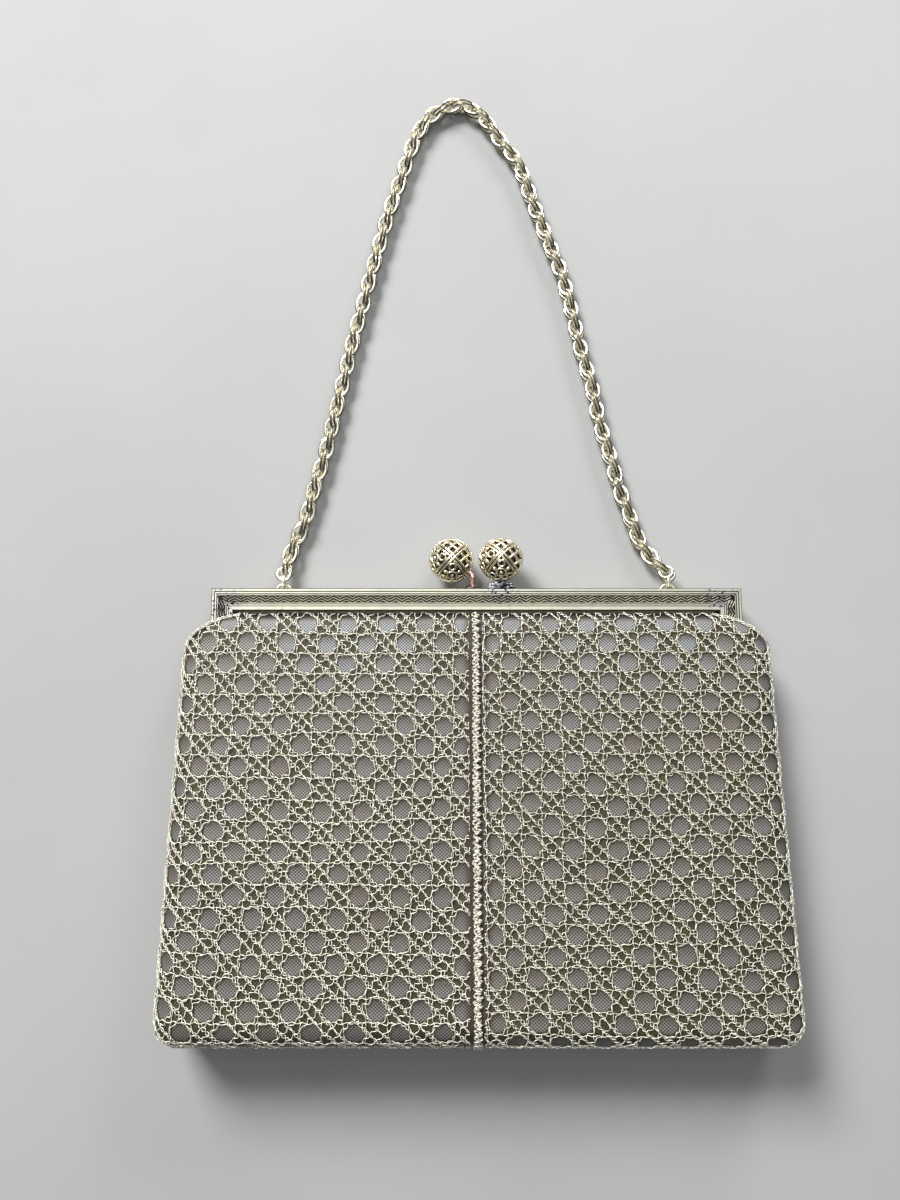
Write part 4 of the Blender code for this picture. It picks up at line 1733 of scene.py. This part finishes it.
@dataclass
class ChainHandle:
    """The rope chain: pairs of oval links, each pair turned square to the one before."""

    route: tuple[tuple[float, float], ...] = (
        (-60.0, 14.3), (-56.0, 24.5), (-52.5, 37.5), (-49.0, 50.5), (-45.5, 66.5), (-42.0, 82.5),
        (-38.0, 99.5), (-34.5, 113.5), (-31.0, 127.5), (-26.7, 141.5), (-22.0, 156.5), (-17.4, 166.5),
        (-11.0, 172.3), (-3.8, 173.6), (3.0, 169.0), (9.5, 159.9), (15.4, 151.1), (19.8, 138.5),
        (25.0, 123.5), (29.4, 112.1), (32.5, 99.5), (36.0, 83.0), (39.5, 69.5), (42.0, 56.2),
        (45.4, 44.2), (47.7, 35.0), (50.7, 26.1), (54.7, 15.7),
    )
    eyelet: float = 62.0
    rest: float = 2.65
    ring_top: float = 65.065
    ring_level: float = 4.9
    step: float = 3.75
    long: float = 3.8
    wide: float = 2.6
    wire: float = 0.5
    pair: float = 0.58
    stagger: float = 0.42
    ring_radius: float = 1.9
    ring_wire: float = 0.45
    eyelet_radius: float = 2.4
    sway: float = math.radians(13)
    tilt: float = math.radians(9)

    def path(self) -> np.ndarray:
        """The chain's middle as a smooth line.

        Returns:
            The points, a millimetre apart.
        """
        ends = [np.array((s * self.eyelet, self.ring_top, self.ring_level)) for s in (-1, 1)]
        knots = [ends[0]] + [np.array((x, BAR_TOP + y, self.rest)) for x, y in self.route] + [ends[1]]
        knots = [2 * knots[0] - knots[1]] + knots + [2 * knots[-1] - knots[-2]]
        found = []
        for p, q, r, s in zip(knots, knots[1:], knots[2:], knots[3:]):
            for t in np.linspace(0, 1, 12, endpoint=False):
                line = 2 * q + (r - p) * t + (2 * p - 5 * q + 4 * r - s) * t * t
                found.append((line + (3 * q - p - 3 * r + s) * t ** 3) / 2)
        found.append(ends[1])
        found = np.array(found)
        length = np.concatenate([[0], np.cumsum(np.linalg.norm(np.diff(found, axis=0), axis=1))])
        at = np.linspace(0, length[-1], round(length[-1]) + 1)
        return np.stack([np.interp(at, length, found[:, i]) for i in range(3)], -1)

    def build(self, material: Material) -> tuple[Object, np.ndarray]:
        """Makes the links.

        Args:
            material: their finish.

        Returns:
            The chain and the points of its path.
        """
        path = self.path()
        length = path_length(path)
        tangent = unit(np.gradient(path, axis=0))
        strands = Strands(8)
        count = round(length / self.step)
        turn = np.linspace(0, TAU, 22, endpoint=False)[:, None]
        for k in range(count + 1):
            at = (len(path) - 1) * k / count
            i = min(int(at), len(path) - 2)
            centre = path[i] + (path[i + 1] - path[i]) * min(at - i, 1)
            level = unit(np.cross(tangent[i], (0, 0, 1)))
            up = np.cross(level, tangent[i])
            angle = math.pi / 2 * (k % 2) + self.sway * math.sin(0.9 * k)
            across = level * math.cos(angle) + up * math.sin(angle)
            through = up * math.cos(angle) - level * math.sin(angle)
            axis = tangent[i] * math.cos(self.tilt) + through * math.sin(self.tilt)
            normal = np.cross(axis, across)
            size = (self.long - self.wire) * (0.6 if k in (0, count) else 1.0)
            oval = size * np.cos(turn) * axis + (self.wide - self.wire) * np.sin(turn) * across
            for sign in (-1, 1):
                points = centre + oval + sign * (self.pair * normal + self.stagger * axis)
                points[:, 2] = np.maximum(points[:, 2], self.wire + 0.02)
                strands.add(points, normal, self.wire, closed=True)
        LOG.info("chain: %d links, %.1f mm", count + 1, length)
        obj = finish_piece(strands.build("rope_chain"), "rope_chain", material)
        return obj, path

    def ring(self, side: int, material: Material) -> Object:
        """The ring between the chain and one eyelet.

        Args:
            side: -1 for the left one.
            material: its finish.

        Returns:
            The piece.
        """
        select_none()
        bpy.ops.mesh.primitive_torus_add(
            location=metres((side * self.eyelet, self.ring_top - 2.65, self.ring_level)),
            rotation=(0, math.pi / 2, 0),
            major_radius=self.ring_radius * MM,
            minor_radius=self.ring_wire * MM,
            major_segments=32,
            minor_segments=10,
        )
        obj = bpy.context.object
        bpy.ops.object.shade_smooth()
        return finish_piece(obj, f"chain_ring_{'left' if side < 0 else 'right'}", material)

    def loop(self, side: int, material: Material) -> Object:
        """The half-round wire eyelet on the frame.

        Args:
            side: -1 for the left one.
            material: its finish.

        Returns:
            The piece.
        """
        t = np.linspace(0, math.pi, 21)
        foot = side * self.eyelet
        high = np.full_like(t, self.ring_level)
        radius = self.eyelet_radius
        line = np.stack([foot + radius * np.cos(t), BAR_TOP + 0.2 + radius * np.sin(t), high], -1)
        toe = np.array([(1.5, -0.05, 0), (0.5, 0.0, 0)])
        line = np.concatenate([line[0] + toe, line, line[-1] + toe[::-1] * (-1, 1, 1)])
        strands = Strands(10)
        strands.add(line, (0, 0, 1), self.ring_wire)
        name = f"eyelet_loop_{'left' if side < 0 else 'right'}"
        return finish_piece(strands.build(name), name, material)


# ---------------------------------------------------------------- the clutch


@dataclass
class Clutch:
    """The whole clutch on its CAD bodies."""

    palette: Palette

    def bend(self, obj: Object, *nodes: str) -> None:
        """Bakes a front fabric's place into its mesh and hides the two CAD solids it stands for.

        Args:
            obj: the fabric.
            nodes: the lower and the upper CAD node.
        """
        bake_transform(obj)
        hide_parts(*nodes)

    def on(self, obj: Object, body: str, *nodes: str) -> Object:
        """Puts a piece on a body in place of CAD nodes.

        Args:
            obj: the piece.
            body: the body's name.
            nodes: the CAD nodes it stands for.

        Returns:
            The piece.
        """
        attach(obj, body)
        if nodes:
            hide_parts(*nodes)
        return obj

    def build_fabric(self) -> None:
        """Makes the cloths, laces, seams, gussets and linings."""
        c = self.palette
        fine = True
        rear_step = 0.8 if fine else 3.0
        front_step = 0.52 if fine else 2.4
        for tag, pattern in (("left", LEFT), ("right", RIGHT)):
            lace = LaceHalf(f"front_gilt_lace_{tag}", pattern, front=True, step=front_step).build(c.lace)
            self.bend(lace, f"front_lace_{tag}_lower", f"front_lace_{tag}_upper")
            rear = LaceHalf(f"rear_gilt_lace_{tag}", pattern, front=False, step=rear_step).build(c.lace)
            self.on(rear, "bag", f"rear_lace_{tag}")
        seam = SeamCord("front_looped_seam", front=True).build(c.seam)
        self.bend(seam, "front_seam_cord_lower", "front_seam_cord_upper")
        rear = SeamCord("rear_looped_seam", front=False).build(c.seam)
        self.on(rear, "bag", "rear_seam_cord")
        cloth = Skin("front_ground_cloth", front=True, start=1.1).build(c.ground)
        self.bend(cloth, "front_cloth_lower", "front_cloth_upper")
        rear = Skin("rear_ground_cloth", front=False, start=1.1, pitch=2.0).build(c.ground)
        self.on(rear, "bag", "rear_cloth")
        band = Gusset().build(c.gusset)
        self.on(band, "bag", "gusset_left", "gusset_right", "bottom_gusset")
        for side, tag in ((-1, "left"), (1, "right")):
            fold = FoldedGusset(f"folded_gusset_{tag}", side).build(c.gusset)
            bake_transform(fold)
        satin = Lining("front_satin", front=True, top=54.0).build(c.satin)
        self.bend(satin, "front_lining_lower", "front_lining_upper")
        satin = Lining("rear_satin", front=False, top=54.0).build(c.satin)
        self.on(satin, "bag", "rear_lining")

    def build_frame(self) -> None:
        """Makes the frame halves and the clasp."""
        c = self.palette
        front = FrameHalf("front_stamped_frame", low=8.1, high=13.9, facing=1, ear_start=76.3)
        self.on(front.build(c.frame), "front_frame", "front_frame")
        rear = FrameHalf("rear_stamped_frame", low=2.0, high=7.8, facing=-1, ear_start=79.6)
        self.on(rear.build(c.frame), "bag", "rear_frame")
        feet = ClaspFeet()
        self.on(feet.front_foot(c.worn), "front_frame", "front_clasp_foot")
        self.on(feet.front_stem(c.worn), "front_frame", "front_clasp_stem")
        self.on(feet.rear_foot(c.worn), "bag", "rear_clasp_foot")
        self.on(feet.rear_stem(c.copper), "bag", "rear_clasp_stem")
        ball = ClaspBall("front_pierced_ball", (7.9, BALL_Y, 9.95), (-0.12, -0.03, math.pi / 4))
        self.on(ball.build(c.ball), "front_frame", "front_clasp_ball")
        self.on(ball.inside(c.hollow), "front_frame")
        ball = ClaspBall("rear_pierced_ball", (-7.9, BALL_Y, 8.05), (0.0, 0.07, math.pi / 4))
        self.on(ball.build(c.ball), "bag", "rear_clasp_ball")
        self.on(ball.inside(c.hollow), "bag")

    def build_chain(self) -> None:
        """Makes the chain, its rings and the eyelets."""
        c = self.palette
        handle = ChainHandle()
        chain, path = handle.build(c.chain)
        self.on(chain, "handle", "chain_handle")
        for side, tag in ((-1, "left"), (1, "right")):
            self.on(handle.loop(side, c.frame), "bag", f"eyelet_{tag}")
            self.on(handle.ring(side, c.chain), "handle", f"jump_ring_{tag}")

    def paint_kept_nodes(self) -> None:
        """Gives the CAD pieces that stay in view their finishes."""
        c = self.palette
        kept = {
            "hinge_pin_left": c.steel,
            "hinge_pin_right": c.steel,
            "rear_packing_strip": c.paper,
            "front_packing_strip": c.paper,
            "rear_board": c.card,
            "front_board_lower": c.card,
            "front_board_upper": c.card,
        }
        for name, material in kept.items():
            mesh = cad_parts[name].data
            mesh.materials.clear()
            mesh.materials.append(material)


@dataclass(frozen=True)
class Lamp:
    """A soft square lamp that points at the table's middle."""

    name: str
    place: Triple
    size: float
    power: float

    def put_up(self) -> None:
        """Adds the lamp."""
        bpy.ops.object.light_add(type="AREA", location=self.place)
        light = bpy.context.object
        light.name = self.name
        light.data.size = self.size
        light.data.energy = self.power
        light.rotation_euler = (-Vector(self.place)).to_track_quat("-Z", "Y").to_euler()


LAMPS = (
    Lamp("window", (-1.0, 1.65, 1.49), 0.9, 121.0),
    Lamp("overhead", (0.05, 0.12, 1.1), 0.9, 3.2),
    Lamp("strip", (0.40, 0.9, 0.45), 0.3, 5.5),
)
CAMERA_PLACE = (-0.0083, 0.0160, 0.2929)
CAMERA_TILT = math.radians(8)
CAMERA_LENS = 27.03


def set_stage() -> None:
    """Makes the floor, the lights, the world and the camera."""
    select_none()
    bpy.ops.mesh.primitive_plane_add(size=4.0, location=(0, 0, -0.0001))
    floor = bpy.context.object
    floor.name = "table_top"
    table = Matt("table", (0.31, 0.31, 0.307), (0.296, 0.296, 0.292), 0.8, 8.0, 0.02)
    floor.data.materials.append(table.make())
    world = bpy.context.scene.world or bpy.data.worlds.new("studio")
    bpy.context.scene.world = world
    bpy.context.scene.view_settings.view_transform = "Standard"
    world.use_nodes = True
    sky = world.node_tree.nodes["Background"]
    sky.inputs[0].default_value = (0.93, 0.96, 1.0, 1.0)
    sky.inputs[1].default_value = 0.20
    for lamp in LAMPS:
        lamp.put_up()
    bpy.ops.object.camera_add(location=CAMERA_PLACE, rotation=(CAMERA_TILT, 0, 0))
    camera = bpy.context.object
    camera.data.lens = CAMERA_LENS
    camera.data.clip_start = 0.01
    bpy.context.scene.camera = camera


def main() -> None:
    """Builds the clutch and its stage."""
    logging.basicConfig(level=logging.INFO, format="%(message)s")
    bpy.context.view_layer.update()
    clutch = Clutch(Palette())
    clutch.build_fabric()
    clutch.build_frame()
    clutch.build_chain()
    clutch.paint_kept_nodes()
    set_stage()


if __name__ == "__main__":
    main()
